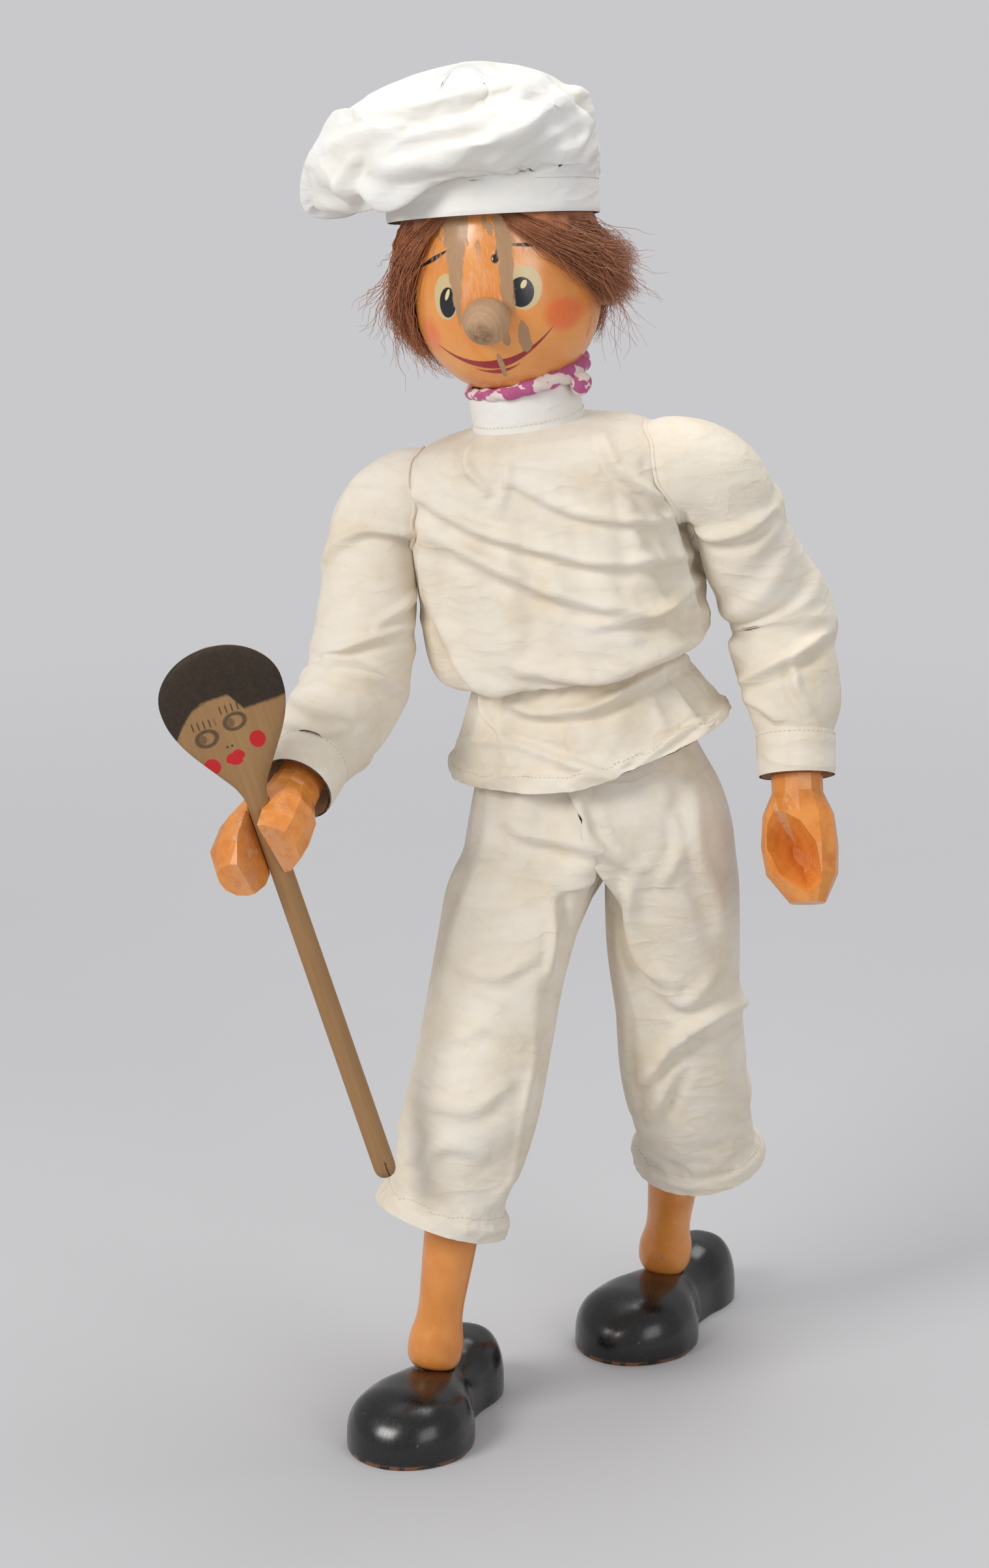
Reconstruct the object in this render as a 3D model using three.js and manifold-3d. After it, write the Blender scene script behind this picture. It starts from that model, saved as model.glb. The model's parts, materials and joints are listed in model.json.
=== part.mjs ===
// Jointed wooden cook doll, standing in a stride with a wooden spoon in its right hand.
// Millimetres, +Z up. The doll faces -Y, so its left side is +X.

import * as THREE from 'three';
import { mergeVertices } from 'three/addons/utils/BufferGeometryUtils.js';
import Module from 'manifold-3d';

const wasm = await Module();
wasm.setup();

// Clearances
const FIT = 0.3; // between pieces that touch
const RUNNING = 1.0; // beside a piece that turns
const CLOTH = 1.5; // cloth and its seams

// Legs
const HIP_SPACING = 110; // between the hip balls
const HIP_BALL_RADIUS = 20;
const THIGH_LENGTH = 195; // hip to knee
const THIGH_RADIUS = 21;
const KNEE_RADIUS = 17;
const SHIN_LENGTH = 195; // knee to ankle
const SHIN_RADIUS = 19.5;
const SHIN_NECK_RADIUS = 15;
const ANKLE_BALL_RADIUS = 19.5;
const ANKLE_HEIGHT = 57; // ankle centre above the sole

// Shoes
const SHOE_LENGTH = 178;
const SHOE_WIDTH = 88;
const SHOE_HEIGHT = 44;
const SHOE_HEEL_WIDTH = 60;
const HEEL_BEHIND_ANKLE = 83;
const TANG_THICKNESS = 3;
const TANG_WIDTH = 12;
const TANG_DEPTH = 22; // how far the tang is let into the shoe

// Trunk, measured up the spine from the hips
const WAIST_HEIGHT = 82; // where the chest block stands on the hip block
const CHEST_HEIGHT = 270; // top of the chest block
const WAIST_DOWEL_RADIUS = 12;
const NECK_RADIUS = 13;
const AXLE_RADIUS = 6; // dowels that carry the shoulder and hip balls
const PIN_RADIUS = 3;

// Arms
const SHOULDER_HALF_WIDTH = 110;
const SHOULDER_BELOW_CHEST_TOP = 35;
const SHOULDER_HEIGHT = CHEST_HEIGHT - SHOULDER_BELOW_CHEST_TOP;
const SHOULDER_BALL_RADIUS = 17;
const UPPER_ARM_LENGTH = 130;
const UPPER_ARM_RADIUS = 16;
const ELBOW_RADIUS = 14;
const FOREARM_LENGTH = 115;
const FOREARM_RADIUS = 16.5;
const WRIST_RADIUS = 18;
const WRIST_PEG_RADIUS = 6;

// Collar and neckerchief
const COLLAR_RADIUS = 38;
const COLLAR_HEIGHT = 27;
const COLLAR_ABOVE_CHEST = 11;
const COLLAR_BASE_HEIGHT = CHEST_HEIGHT + COLLAR_ABOVE_CHEST;
const COLLAR_TOP_HEIGHT = COLLAR_BASE_HEIGHT + COLLAR_HEIGHT;
const NECKERCHIEF_ROLL = 6.5;
const NECKERCHIEF_RADIUS = COLLAR_RADIUS + 3;

// Head
const HEAD_ABOVE_COLLAR = 59; // head's centre above the collar's top
const HEAD_CENTRE_HEIGHT = COLLAR_TOP_HEIGHT + HEAD_ABOVE_COLLAR;
const HEAD_RADIUS = 64;
const HEAD_CROWN = 100; // top of the head above its centre
const NOSE_RADIUS = 16.5;
const NOSE_PEG_RADIUS = 5;
const EAR_HEIGHT = 30;
const HAIR_THICKNESS = 10;

// Hat
const HAT_BAND_RADIUS = 73;
const HAT_BAND_HEIGHT = 26;
const HAT_BAND_ABOVE_CENTRE = 58;
const HAT_TILT = THREE.MathUtils.degToRad(12);
const CROWN_POINTS = 24;
const HAT_CROWN_TOP = 160; // above the head's centre
const HAT_CROWN_HALF_WIDTH = 104;
const HAT_CROWN_HALF_DEPTH = 92;

// Clothes
const ARMHOLE_HALF_WIDTH = 96;
const ARMHOLE_RADIUS = 37;
const ARMHOLE_HEIGHT = SHOULDER_HEIGHT;
const SEAM_REACH = 22; // how far in the sleeve follows the curve of the shoulder
const CHEST_HALF_WIDTH = 99;
const CHEST_HALF_DEPTH = 69;
const JACKET_SHIFT = 4; // the jacket hangs to the doll's left of the spine
const JACKET_WAIST_HEIGHT = 108;
const WAIST_TIE_HALF_WIDTH = 70.5;
const WAIST_TIE_HALF_DEPTH = 53.5;
const WAIST_TIE_RADIUS = 2.3;
const CUFF_RADIUS = 26.5;
const CUFF_LENGTH = 32;
const SLEEVE_RADIUS = 39;
const TROUSER_RADIUS = 47;
const HEM_ABOVE_ANKLE = 88;
const HEM_RISE = 16; // the hems are higher at the outside of the leg
const SKIRT_HALF_WIDTH = 101;
const SKIRT_HEM_HEIGHT = 50;
const SKIRT_FRONT_SAG = 16; // the hem hangs lower in front
const BUTTON_RADIUS = 6;
const BUTTON_COUNT = 4;
const FIRST_BUTTON_HEIGHT = CHEST_HEIGHT - 12;
const LAST_BUTTON_HEIGHT = JACKET_WAIST_HEIGHT + 42;

// Spoon
const SPOON_HANDLE_RADIUS = 7.7;
const SPOON_ABOVE_GRIP = 137;
const SPOON_BELOW_GRIP = 261;
const SPOON_BOWL_WIDTH = 86;
const SPOON_BOWL_LENGTH = 112;
const SPOON_TILT = THREE.MathUtils.degToRad(17.7);

// Hands
const HAND_LENGTH = 90;
const HAND_WIDTH = 50;
const HAND_THICKNESS = 40;
const FIST_WIDTH = 66;
const GRIP_FROM_WRIST = 48; // spoon handle's place in the right hand

const DEGREE = Math.PI / 180;
const TRUNK_AXIS = new THREE.Vector3(1, 0, 0); // the shoulder and hip axles
const PIN_AXIS = new THREE.Vector3(0, 1, 0); // the pins of the limbs
const SPINE = new THREE.Vector3(0, 0, 1);

// Stance: the line from hip to ankle or from shoulder to wrist, how far the middle joint is bent,
// and the way that joint points; hemAside is how far the trouser hem hangs outwards of the shin
const STANCE = {
  right: {
    side: -1,
    legLine: new THREE.Vector3(-0.085, -0.36, -1),
    kneeBend: 26 * DEGREE,
    kneeWay: new THREE.Vector3(0.12, -1, 0),
    toeTurn: -7.5 * DEGREE,
    armLine: new THREE.Vector3(-0.11, -0.7, -0.72),
    hemAside: 9,
    elbowBend: 40 * DEGREE,
    elbowWay: new THREE.Vector3(0.05, 0.5, -0.85),
  },
  left: {
    side: 1,
    legLine: new THREE.Vector3(-0.051, 0.235, -1),
    kneeBend: 16 * DEGREE,
    kneeWay: new THREE.Vector3(0.7, -0.7, 0),
    toeTurn: -14 * DEGREE,
    armLine: new THREE.Vector3(0.348, -0.06, -0.93),
    hemAside: 17,
    elbowBend: 44 * DEGREE,
    elbowWay: new THREE.Vector3(0.52, 0.85, 0),
  },
};
const HEAD_TURN = 2 * DEGREE;

// Materials
const orangePaint = new THREE.MeshStandardMaterial({ color: 0xe8923f, roughness: 0.4, metalness: 0 });
const bareWood = new THREE.MeshStandardMaterial({ color: 0xb08a5e, roughness: 0.7, metalness: 0 });
const innerWood = new THREE.MeshStandardMaterial({ color: 0xc9a679, roughness: 0.8, metalness: 0 });
const blackPaint = new THREE.MeshStandardMaterial({ color: 0x151311, roughness: 0.25, metalness: 0 });
const steel = new THREE.MeshStandardMaterial({ color: 0x9a9a98, roughness: 0.4, metalness: 1 });
const creamCloth = new THREE.MeshStandardMaterial({ color: 0xe5dccb, roughness: 0.95, metalness: 0 });
const whiteCloth = new THREE.MeshStandardMaterial({ color: 0xf2f1ee, roughness: 0.95, metalness: 0 });
const pinkCloth = new THREE.MeshStandardMaterial({ color: 0xb3477d, roughness: 0.95, metalness: 0 });
const hairBrown = new THREE.MeshStandardMaterial({ color: 0x8a4a32, roughness: 0.8, metalness: 0 });
const buttonWhite = new THREE.MeshStandardMaterial({ color: 0xe9e4d8, roughness: 0.3, metalness: 0 });

// Solids: joining and cutting

function toSolid(geometry) {
  const bare = new THREE.BufferGeometry();
  bare.setAttribute('position', geometry.getAttribute('position').clone());
  bare.setIndex(geometry.index ? geometry.index.clone() : null);
  const merged = mergeVertices(bare, 1e-3);
  const index = merged.index.array;
  const triangles = [];
  for (let i = 0; i < index.length; i += 3) {
    const [a, b, c] = index.slice(i, i + 3);
    if (a !== b && b !== c && c !== a) {
      triangles.push(a, b, c);
    }
  }
  const mesh = new wasm.Mesh({
    numProp: 3,
    vertProperties: new Float32Array(merged.getAttribute('position').array),
    triVerts: new Uint32Array(triangles),
  });
  return new wasm.Manifold(mesh);
}

function toGeometry(solid) {
  const mesh = solid.getMesh();
  const geometry = new THREE.BufferGeometry();
  geometry.setAttribute('position', new THREE.BufferAttribute(new Float32Array(mesh.vertProperties), 3));
  geometry.setIndex(new THREE.BufferAttribute(new Uint32Array(mesh.triVerts), 1));
  geometry.computeVertexNormals();
  return geometry;
}

function combine(method, first, others) {
  let solid = toSolid(first);
  for (const other of others) {
    solid = solid[method](toSolid(other));
  }
  return toGeometry(solid);
}

const join = (first, ...others) => combine('add', first, others);
const cut = (first, ...others) => combine('subtract', first, others);
const common = (first, ...others) => combine('intersect', first, others);

// Shapes

function turned(profile, sides) {
  const points = profile.map(([radius, height]) => new THREE.Vector2(radius, height));
  if (points[0].y > points[points.length - 1].y) {
    points.reverse();
  }
  return new THREE.LatheGeometry(points, sides).rotateX(Math.PI / 2);
}

function rod(radius, from, to, sides = 10) {
  return turned([[0, from], [radius, from], [radius, to], [0, to]], sides);
}

function rodAlong(axis, radius, from, to, sides = 8) {
  const turn = new THREE.Quaternion().setFromUnitVectors(new THREE.Vector3(0, 0, 1), axis);
  return rod(radius, from, to, sides).applyQuaternion(turn);
}

// A hole in which a rod of this radius turns freely, whatever way its sides lie
function boreAlong(axis, radius, from, to, sides = 8) {
  return rodAlong(axis, (radius + FIT) / Math.cos(Math.PI / sides), from, to, sides);
}

function ball(radius, sides = 14, rows = 8) {
  return new THREE.SphereGeometry(radius, sides, rows).rotateX(Math.PI / 2);
}

function block(sizeX, sizeY, sizeZ, x = 0, y = 0, z = 0) {
  return new THREE.BoxGeometry(sizeX, sizeY, sizeZ).translate(x, y, z);
}

// A closed ring of points round an oval; a higher squareness gives flatter sides
function oval(x, y, z, halfX, halfY, count, squareness = 2) {
  const ring = [];
  for (let i = 0; i < count; i += 1) {
    const angle = (2 * Math.PI * i) / count;
    const cos = Math.cos(angle);
    const sin = Math.sin(angle);
    const reach = (Math.abs(cos) ** squareness + Math.abs(sin) ** squareness) ** (-1 / squareness);
    ring.push(new THREE.Vector3(x + halfX * reach * cos, y + halfY * reach * sin, z));
  }
  return ring;
}

function centreOf(ring) {
  const centre = new THREE.Vector3();
  for (const point of ring) {
    centre.add(point);
  }
  return centre.divideScalar(ring.length);
}

function flipIfInsideOut(vertices, triangles) {
  const a = new THREE.Vector3();
  const b = new THREE.Vector3();
  let volume = 0;
  for (let i = 0; i < triangles.length; i += 3) {
    const [p, q, r] = [0, 1, 2].map((k) => vertices[triangles[i + k]]);
    volume += p.dot(a.crossVectors(b.copy(q), r));
  }
  if (volume < 0) {
    triangles.reverse();
  }
}

// A solid skinned over rings of equal count, closed by a fan at each end
function loft(rings) {
  const count = rings[0].length;
  const vertices = rings.flat();
  const triangles = [];
  for (let k = 0; k + 1 < rings.length; k += 1) {
    for (let i = 0; i < count; i += 1) {
      const next = (i + 1) % count;
      const [a, b] = [k * count + i, k * count + next];
      triangles.push(a, b, b + count, a, b + count, a + count);
    }
  }
  const first = vertices.push(centreOf(rings[0])) - 1;
  const last = vertices.push(centreOf(rings[rings.length - 1])) - 1;
  const top = (rings.length - 1) * count;
  for (let i = 0; i < count; i += 1) {
    const next = (i + 1) % count;
    triangles.push(first, next, i, last, top + i, top + next);
  }
  flipIfInsideOut(vertices, triangles);
  const geometry = new THREE.BufferGeometry().setFromPoints(vertices);
  geometry.setIndex(triangles);
  geometry.computeVertexNormals();
  return geometry;
}

// The same rings drawn in by the cloth's thickness
function drawnIn(rings, thickness) {
  return rings.map((ring) => {
    const centre = centreOf(ring);
    return ring.map((point) => {
      const arm = point.clone().sub(centre);
      return centre.clone().addScaledVector(arm, 1 - thickness / arm.length());
    });
  });
}

// The rings with the first and last one carried on past the ends
function carriedOn(rings, atStart, atEnd) {
  const step = (from, to, distance) => {
    const way = centreOf(to).sub(centreOf(from)).normalize().multiplyScalar(distance);
    return to.map((point) => point.clone().add(way));
  };
  const result = [...rings];
  if (atStart) {
    result.unshift(step(rings[1], rings[0], atStart));
  }
  if (atEnd) {
    result.push(step(rings[rings.length - 2], rings[rings.length - 1], atEnd));
  }
  return result;
}

// Cloth skinned over rings, open at both ends
function clothTube(rings, thickness = CLOTH) {
  return cut(loft(rings), loft(carriedOn(drawnIn(rings, thickness), 2, 2)));
}

// Frames and placing

const doll = new THREE.Group();

function addPiece(parent, name, geometry, material) {
  const mesh = new THREE.Mesh(geometry, material);
  mesh.name = name;
  parent.add(mesh);
}

// A frame at origin whose Z points up along the bone and whose X or Y is nearest to a given way
function boneFrame(origin, down, nearX, nearY) {
  const z = down.clone().negate().normalize();
  let x;
  let y;
  if (nearX) {
    x = nearX.clone().addScaledVector(z, -nearX.dot(z)).normalize();
    y = z.clone().cross(x);
  } else {
    y = nearY.clone().addScaledVector(z, -nearY.dot(z)).normalize();
    x = y.clone().cross(z);
  }
  return new THREE.Matrix4().makeBasis(x, y, z).setPosition(origin);
}

// A group standing at a frame given in the doll's coordinates
function hang(parent, frame) {
  parent.updateWorldMatrix(true, false);
  const group = new THREE.Group();
  group.applyMatrix4(parent.matrixWorld.clone().invert().multiply(frame));
  parent.add(group);
  group.updateWorldMatrix(true, false);
  return group;
}

// The two bones of a bent limb
function bentLimb(start, line, bend, way, upperLength, lowerLength) {
  const along = line.clone().normalize();
  const side = way.clone().addScaledVector(along, -way.dot(along)).normalize();
  const reach = Math.sqrt(upperLength ** 2 + lowerLength ** 2 + 2 * upperLength * lowerLength * Math.cos(bend));
  const foot = (upperLength ** 2 - lowerLength ** 2 + reach ** 2) / (2 * reach);
  const rise = Math.sqrt(Math.max(upperLength ** 2 - foot ** 2, 0));
  const middle = start.clone().addScaledVector(along, foot).addScaledVector(side, rise);
  const end = start.clone().addScaledVector(along, reach);
  const upperWay = middle.clone().sub(start).normalize();
  const lowerWay = end.clone().sub(middle).normalize();
  const hinge = upperWay.clone().cross(lowerWay).normalize();
  return { start, middle, end, upperWay, lowerWay, hinge };
}

// Trunk frame: the hips tilt so that both soles stand flat on the floor

function legDrop({ legLine, kneeBend }) {
  const reach = Math.sqrt(
    THIGH_LENGTH ** 2 + SHIN_LENGTH ** 2 + 2 * THIGH_LENGTH * SHIN_LENGTH * Math.cos(kneeBend),
  );
  return (reach * Math.abs(legLine.z)) / legLine.length();
}

const rightDrop = legDrop(STANCE.right);
const leftDrop = legDrop(STANCE.left);
const lean = Math.asin((leftDrop - rightDrop) / HIP_SPACING);
const hipHeight = ANKLE_HEIGHT + (rightDrop + leftDrop) / 2;

const trunkFrame = new THREE.Matrix4().makeRotationY(-lean).setPosition(0, 0, hipHeight);
const trunk = hang(doll, trunkFrame);
const trunkX = new THREE.Vector3(1, 0, 0).transformDirection(trunkFrame);
const inDoll = (x, y, z) => new THREE.Vector3(x, y, z).applyMatrix4(trunkFrame);
const toTrunk = trunkFrame.clone().invert();

const limbs = {};
for (const [name, stance] of Object.entries(STANCE)) {
  const hip = inDoll((stance.side * HIP_SPACING) / 2, 0, 0);
  const shoulder = inDoll(stance.side * SHOULDER_HALF_WIDTH, 0, SHOULDER_HEIGHT);
  limbs[name] = {
    leg: bentLimb(hip, stance.legLine, stance.kneeBend, stance.kneeWay, THIGH_LENGTH, SHIN_LENGTH),
    arm: bentLimb(
      shoulder, stance.armLine, stance.elbowBend, stance.elbowWay, UPPER_ARM_LENGTH, FOREARM_LENGTH,
    ),
  };
}

// Jacket body: sizes down the trunk from the neck to the gathered waist
const aboveWaist = (share) => JACKET_WAIST_HEIGHT + share * (CHEST_HEIGHT - JACKET_WAIST_HEIGHT);
const JACKET_ROWS = [
  [COLLAR_BASE_HEIGHT - FIT, COLLAR_RADIUS + 2, COLLAR_RADIUS, 2],
  [CHEST_HEIGHT + COLLAR_ABOVE_CHEST / 2, 56, 44, 2.2],
  [CHEST_HEIGHT, 80, 50, 2.6],
  [aboveWaist(0.92), ARMHOLE_HALF_WIDTH - 5, CHEST_HALF_DEPTH - 14, 3],
  [aboveWaist(0.765), ARMHOLE_HALF_WIDTH - 2, CHEST_HALF_DEPTH - 10, 3.2],
  [aboveWaist(0.57), ARMHOLE_HALF_WIDTH - 1, CHEST_HALF_DEPTH - 7, 3],
  [aboveWaist(0.352), CHEST_HALF_WIDTH - 1, CHEST_HALF_DEPTH - 2, 2.6],
  [aboveWaist(0.185), CHEST_HALF_WIDTH, CHEST_HALF_DEPTH, 2.4],
  [aboveWaist(0.086), CHEST_HALF_WIDTH - 6, CHEST_HALF_DEPTH - 2, 2.4],
  [JACKET_WAIST_HEIGHT + 7, WAIST_TIE_HALF_WIDTH + 11.5, WAIST_TIE_HALF_DEPTH + 5.5, 2.2],
  [JACKET_WAIST_HEIGHT + WAIST_TIE_RADIUS, WAIST_TIE_HALF_WIDTH, WAIST_TIE_HALF_DEPTH, 2],
];

function jacketRings() {
  return JACKET_ROWS.map(([height, halfWidth, halfDepth, squareness], row) => {
    const blouse = Math.max(0, 1 - Math.abs(height - LAST_BUTTON_HEIGHT) / 70);
    const shift = row < 3 ? 0 : JACKET_SHIFT;
    return oval(0, 0, height, halfWidth, halfDepth, 20, squareness).map((point) => {
      const angle = Math.atan2(point.y, point.x);
      const fold = 1 + 0.022 * blouse * Math.sin(4 * angle + row * 1.3);
      return new THREE.Vector3(point.x * fold + shift, point.y * fold, point.z);
    });
  });
}

// Hip block, chest block and waist dowel

function hipBlock() {
  const narrow = HIP_SPACING / 2 - HIP_BALL_RADIUS - 7;
  const ledge = HIP_BALL_RADIUS + 5;
  const body = loft([
    oval(0, 0, -34, narrow * 0.6, 24, 20),
    oval(0, 0, -22, narrow, 32, 20, 2.6),
    oval(0, 0, ledge - 1, narrow, 38, 20, 2.6),
    oval(0, 0, ledge, 58, 42, 20, 2.6),
    oval(0, 0, 55, 60, 44, 20, 2.6),
    oval(0, 0, WAIST_HEIGHT - FIT, 46, 38, 20, 2.4),
  ]);
  return cut(
    body,
    rod(WAIST_DOWEL_RADIUS + FIT, WAIST_HEIGHT - 36, WAIST_HEIGHT + 5, 16),
    boreAlong(TRUNK_AXIS, AXLE_RADIUS, -HIP_SPACING / 2, HIP_SPACING / 2),
  );
}

function chestBlock() {
  const rows = [
    [0, 46, 38, 2.4], [0.16, 50, 42, 2.6], [0.36, 68, 50, 2.8], [0.575, 74, 54, 3], [0.766, 76, 50, 3],
    [0.894, 76, 44, 2.8], [0.98, 82, 46, 2.6], [1, 74, 40, 2.4],
  ];
  const body = loft(rows.map(([share, halfWidth, halfDepth, squareness]) => {
    const height = WAIST_HEIGHT + share * (CHEST_HEIGHT - WAIST_HEIGHT);
    return oval(0, 0, height, halfWidth, halfDepth, 24, squareness);
  }));
  const insideJacket = loft(drawnIn(jacketRings(), CLOTH + FIT));
  const top = common(body, join(insideJacket, block(300, 300, 240, 0, 0, 120)));
  return cut(
    top,
    rod(WAIST_DOWEL_RADIUS + FIT, WAIST_HEIGHT - 5, WAIST_HEIGHT + 36, 16),
    boreAlong(SPINE, NECK_RADIUS, CHEST_HEIGHT - 45, CHEST_HEIGHT + 5, 14),
    boreAlong(TRUNK_AXIS, AXLE_RADIUS, -SHOULDER_HALF_WIDTH, SHOULDER_HALF_WIDTH)
      .translate(0, 0, SHOULDER_HEIGHT),
  );
}

addPiece(trunk, 'hip_block', hipBlock(), innerWood);
addPiece(trunk, 'chest_block', chestBlock(), innerWood);
addPiece(
  trunk, 'waist_dowel',
  rod(WAIST_DOWEL_RADIUS, WAIST_HEIGHT - 36 + FIT, WAIST_HEIGHT + 36 - FIT, 16), bareWood,
);

// Neck post and head, both turning on the spine; the head nods on a pin through its centre

const neckFrame = trunkFrame.clone()
  .multiply(new THREE.Matrix4().makeTranslation(0, 0, HEAD_CENTRE_HEIGHT))
  .multiply(new THREE.Matrix4().makeRotationZ(HEAD_TURN));
const neck = hang(trunk, neckFrame);
const head = hang(neck, neckFrame);

const NECK_TOP = 12;
const NOD_PIN_LENGTH = 96;
const NECK_SLOT_HALF_DEPTH = 32; // room for the post as the head nods

function neckPost() {
  const foot = CHEST_HEIGHT - 45 + FIT - HEAD_CENTRE_HEIGHT;
  const shoulder = CHEST_HEIGHT + 1 - HEAD_CENTRE_HEIGHT;
  const post = turned([
    [0, foot], [NECK_RADIUS, foot], [NECK_RADIUS, shoulder], [NECK_RADIUS + 3, shoulder],
    [NECK_RADIUS + 3, shoulder + 10], [NECK_RADIUS - 1, -HEAD_RADIUS + 4], [NECK_RADIUS - 1, NECK_TOP],
    [0, NECK_TOP],
  ], 14);
  return cut(post, boreAlong(TRUNK_AXIS, PIN_RADIUS, -40, 40));
}

// Half-width of the head at a height above its centre: a half ball below, a full egg above
function headRadiusAt(height) {
  if (height <= 0) {
    return Math.sqrt(Math.max(HEAD_RADIUS ** 2 - height ** 2, 0));
  }
  const fullness = 2.4;
  return HEAD_RADIUS * Math.max(1 - (height / HEAD_CROWN) ** fullness, 0) ** (1 / fullness);
}

function headProfile(offset, steps) {
  const profile = [];
  for (let i = 0; i <= steps; i += 1) {
    const angle = -Math.PI / 2 + (Math.PI * i) / steps;
    const height = angle < 0 ? HEAD_RADIUS * Math.sin(angle) : HEAD_CROWN * Math.sin(angle);
    const radius = i === 0 || i === steps ? 0 : headRadiusAt(height) + offset;
    profile.push([radius, height + offset * Math.sin(angle)]);
  }
  return profile;
}

function headBall() {
  const neckSlot = loft([
    oval(0, 0, -HEAD_RADIUS - 2, NECK_RADIUS + RUNNING, NECK_SLOT_HALF_DEPTH, 16, 4),
    oval(0, 0, NECK_TOP + 4, NECK_RADIUS + RUNNING, NECK_RADIUS + 4, 16, 4),
  ]);
  const nodBore = boreAlong(TRUNK_AXIS, PIN_RADIUS, -NOD_PIN_LENGTH / 2 - FIT, NOD_PIN_LENGTH / 2 + FIT);
  const noseBore = boreAlong(PIN_AXIS, NOSE_PEG_RADIUS, -HEAD_RADIUS - 5, -HEAD_RADIUS + 14);
  return cut(turned(headProfile(0, 14), 22), neckSlot, nodBore, noseBore);
}

function noseKnob() {
  const knob = ball(NOSE_RADIUS, 14, 9).translate(0, -HEAD_RADIUS - 9, 0);
  const peg = rodAlong(PIN_AXIS, NOSE_PEG_RADIUS, -HEAD_RADIUS - 9, -HEAD_RADIUS + 14 - FIT);
  const face = turned(headProfile(FIT, 14), 22);
  return join(cut(knob, face), peg);
}

function ear(side) {
  const thickness = 5;
  const disc = rodAlong(TRUNK_AXIS, EAR_HEIGHT / 2, 0, 14, 18).scale(1, 0.72, 1);
  const outside = block(40, 60, 60, 20 + thickness + 9, 0, 0);
  const leaf = cut(disc, outside).translate(HEAD_RADIUS - 8, 4, 2);
  const shaped = cut(leaf, turned(headProfile(FIT, 14), 22));
  return side > 0 ? shaped : mirrored(shaped);
}

function mirrored(geometry) {
  const copy = geometry.clone().applyMatrix4(new THREE.Matrix4().makeScale(-1, 1, 1));
  copy.setIndex(Array.from(copy.index.array).reverse());
  return copy;
}

// Face side of the wig, in the plane of the face: a rounded arch below the parting
function faceOpening() {
  const outline = new THREE.Shape();
  outline.moveTo(-HEAD_RADIUS - 20, -70);
  outline.lineTo(HEAD_RADIUS + 20, -70);
  outline.lineTo(HEAD_RADIUS + 20, -24);
  outline.quadraticCurveTo(62, 10, 52, 40);
  outline.quadraticCurveTo(40, 72, 6, 84);
  outline.quadraticCurveTo(-44, 70, -54, 36);
  outline.quadraticCurveTo(-62, 8, -HEAD_RADIUS - 20, -24);
  outline.closePath();
  const arch = new THREE.ExtrudeGeometry(outline, { depth: 150, bevelEnabled: false, curveSegments: 5 });
  return arch.rotateX(Math.PI / 2).translate(0, -8, 0);
}

// The outside of the hair, with some room added; it is fullest under the hat band
function hairMass(room) {
  const full = HAIR_THICKNESS;
  const rows = [
    [-32, 0.4 * full], [-18, 0.8 * full], [4, full], [30, full], [58, 1.42 * full], [72, 1.4 * full],
    [86, 0.9 * full], [96, 0.4 * full],
  ];
  const columns = 20;
  return loft(rows.map(([height, thickness]) => {
    return oval(0, 0, height, 1, 1, columns).map((point, i) => {
      const angle = (2 * Math.PI * i) / columns;
      const wave = 1.3 * Math.sin(7 * angle + height / 14);
      const reach = headRadiusAt(height) + thickness + wave + room;
      return new THREE.Vector3(reach * Math.cos(angle), reach * Math.sin(angle), height);
    });
  }));
}

function wig() {
  const earRoom = block(200, EAR_HEIGHT * 0.72 + 4, EAR_HEIGHT + 4, 0, 4, 2);
  return cut(hairMass(0), turned(headProfile(FIT, 14), 22), faceOpening(), earRoom);
}

addPiece(neck, 'neck_post', neckPost(), bareWood);
addPiece(head, 'head', headBall(), orangePaint);
addPiece(
  head, 'nod_pin',
  rodAlong(TRUNK_AXIS, PIN_RADIUS, -NOD_PIN_LENGTH / 2, NOD_PIN_LENGTH / 2), steel,
);
addPiece(head, 'nose', noseKnob(), bareWood);
addPiece(head, 'ear_right', ear(-1), bareWood);
addPiece(head, 'ear_left', ear(1), bareWood);
addPiece(head, 'wig', wig(), hairBrown);

// Hat: a stiff band tilted back on the wig, and a soft crown that falls to the doll's right

const hatFrame = new THREE.Matrix4().makeRotationX(-HAT_TILT)
  .premultiply(new THREE.Matrix4().makeTranslation(0, 7, HAT_BAND_ABOVE_CENTRE));

function hatBand() {
  const rings = [0, HAT_BAND_HEIGHT].map((height) => oval(0, 0, height, HAT_BAND_RADIUS, HAT_BAND_RADIUS, 28));
  return cut(clothTube(rings, 2).applyMatrix4(hatFrame), hairMass(FIT));
}

function crownRing(z, x, y, halfX, halfY, slope, swell) {
  return oval(x, y, z, halfX, halfY, CROWN_POINTS).map((point, i) => {
    const angle = (2 * Math.PI * i) / CROWN_POINTS;
    const fold = 1 + swell * Math.sin(5 * angle + z / 16) + 0.6 * swell * Math.sin(3 * angle - z / 22);
    const way = point.clone().sub(new THREE.Vector3(x, y, z)).multiplyScalar(fold);
    return new THREE.Vector3(x + way.x, y + way.y, z + slope * way.x);
  });
}

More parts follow.
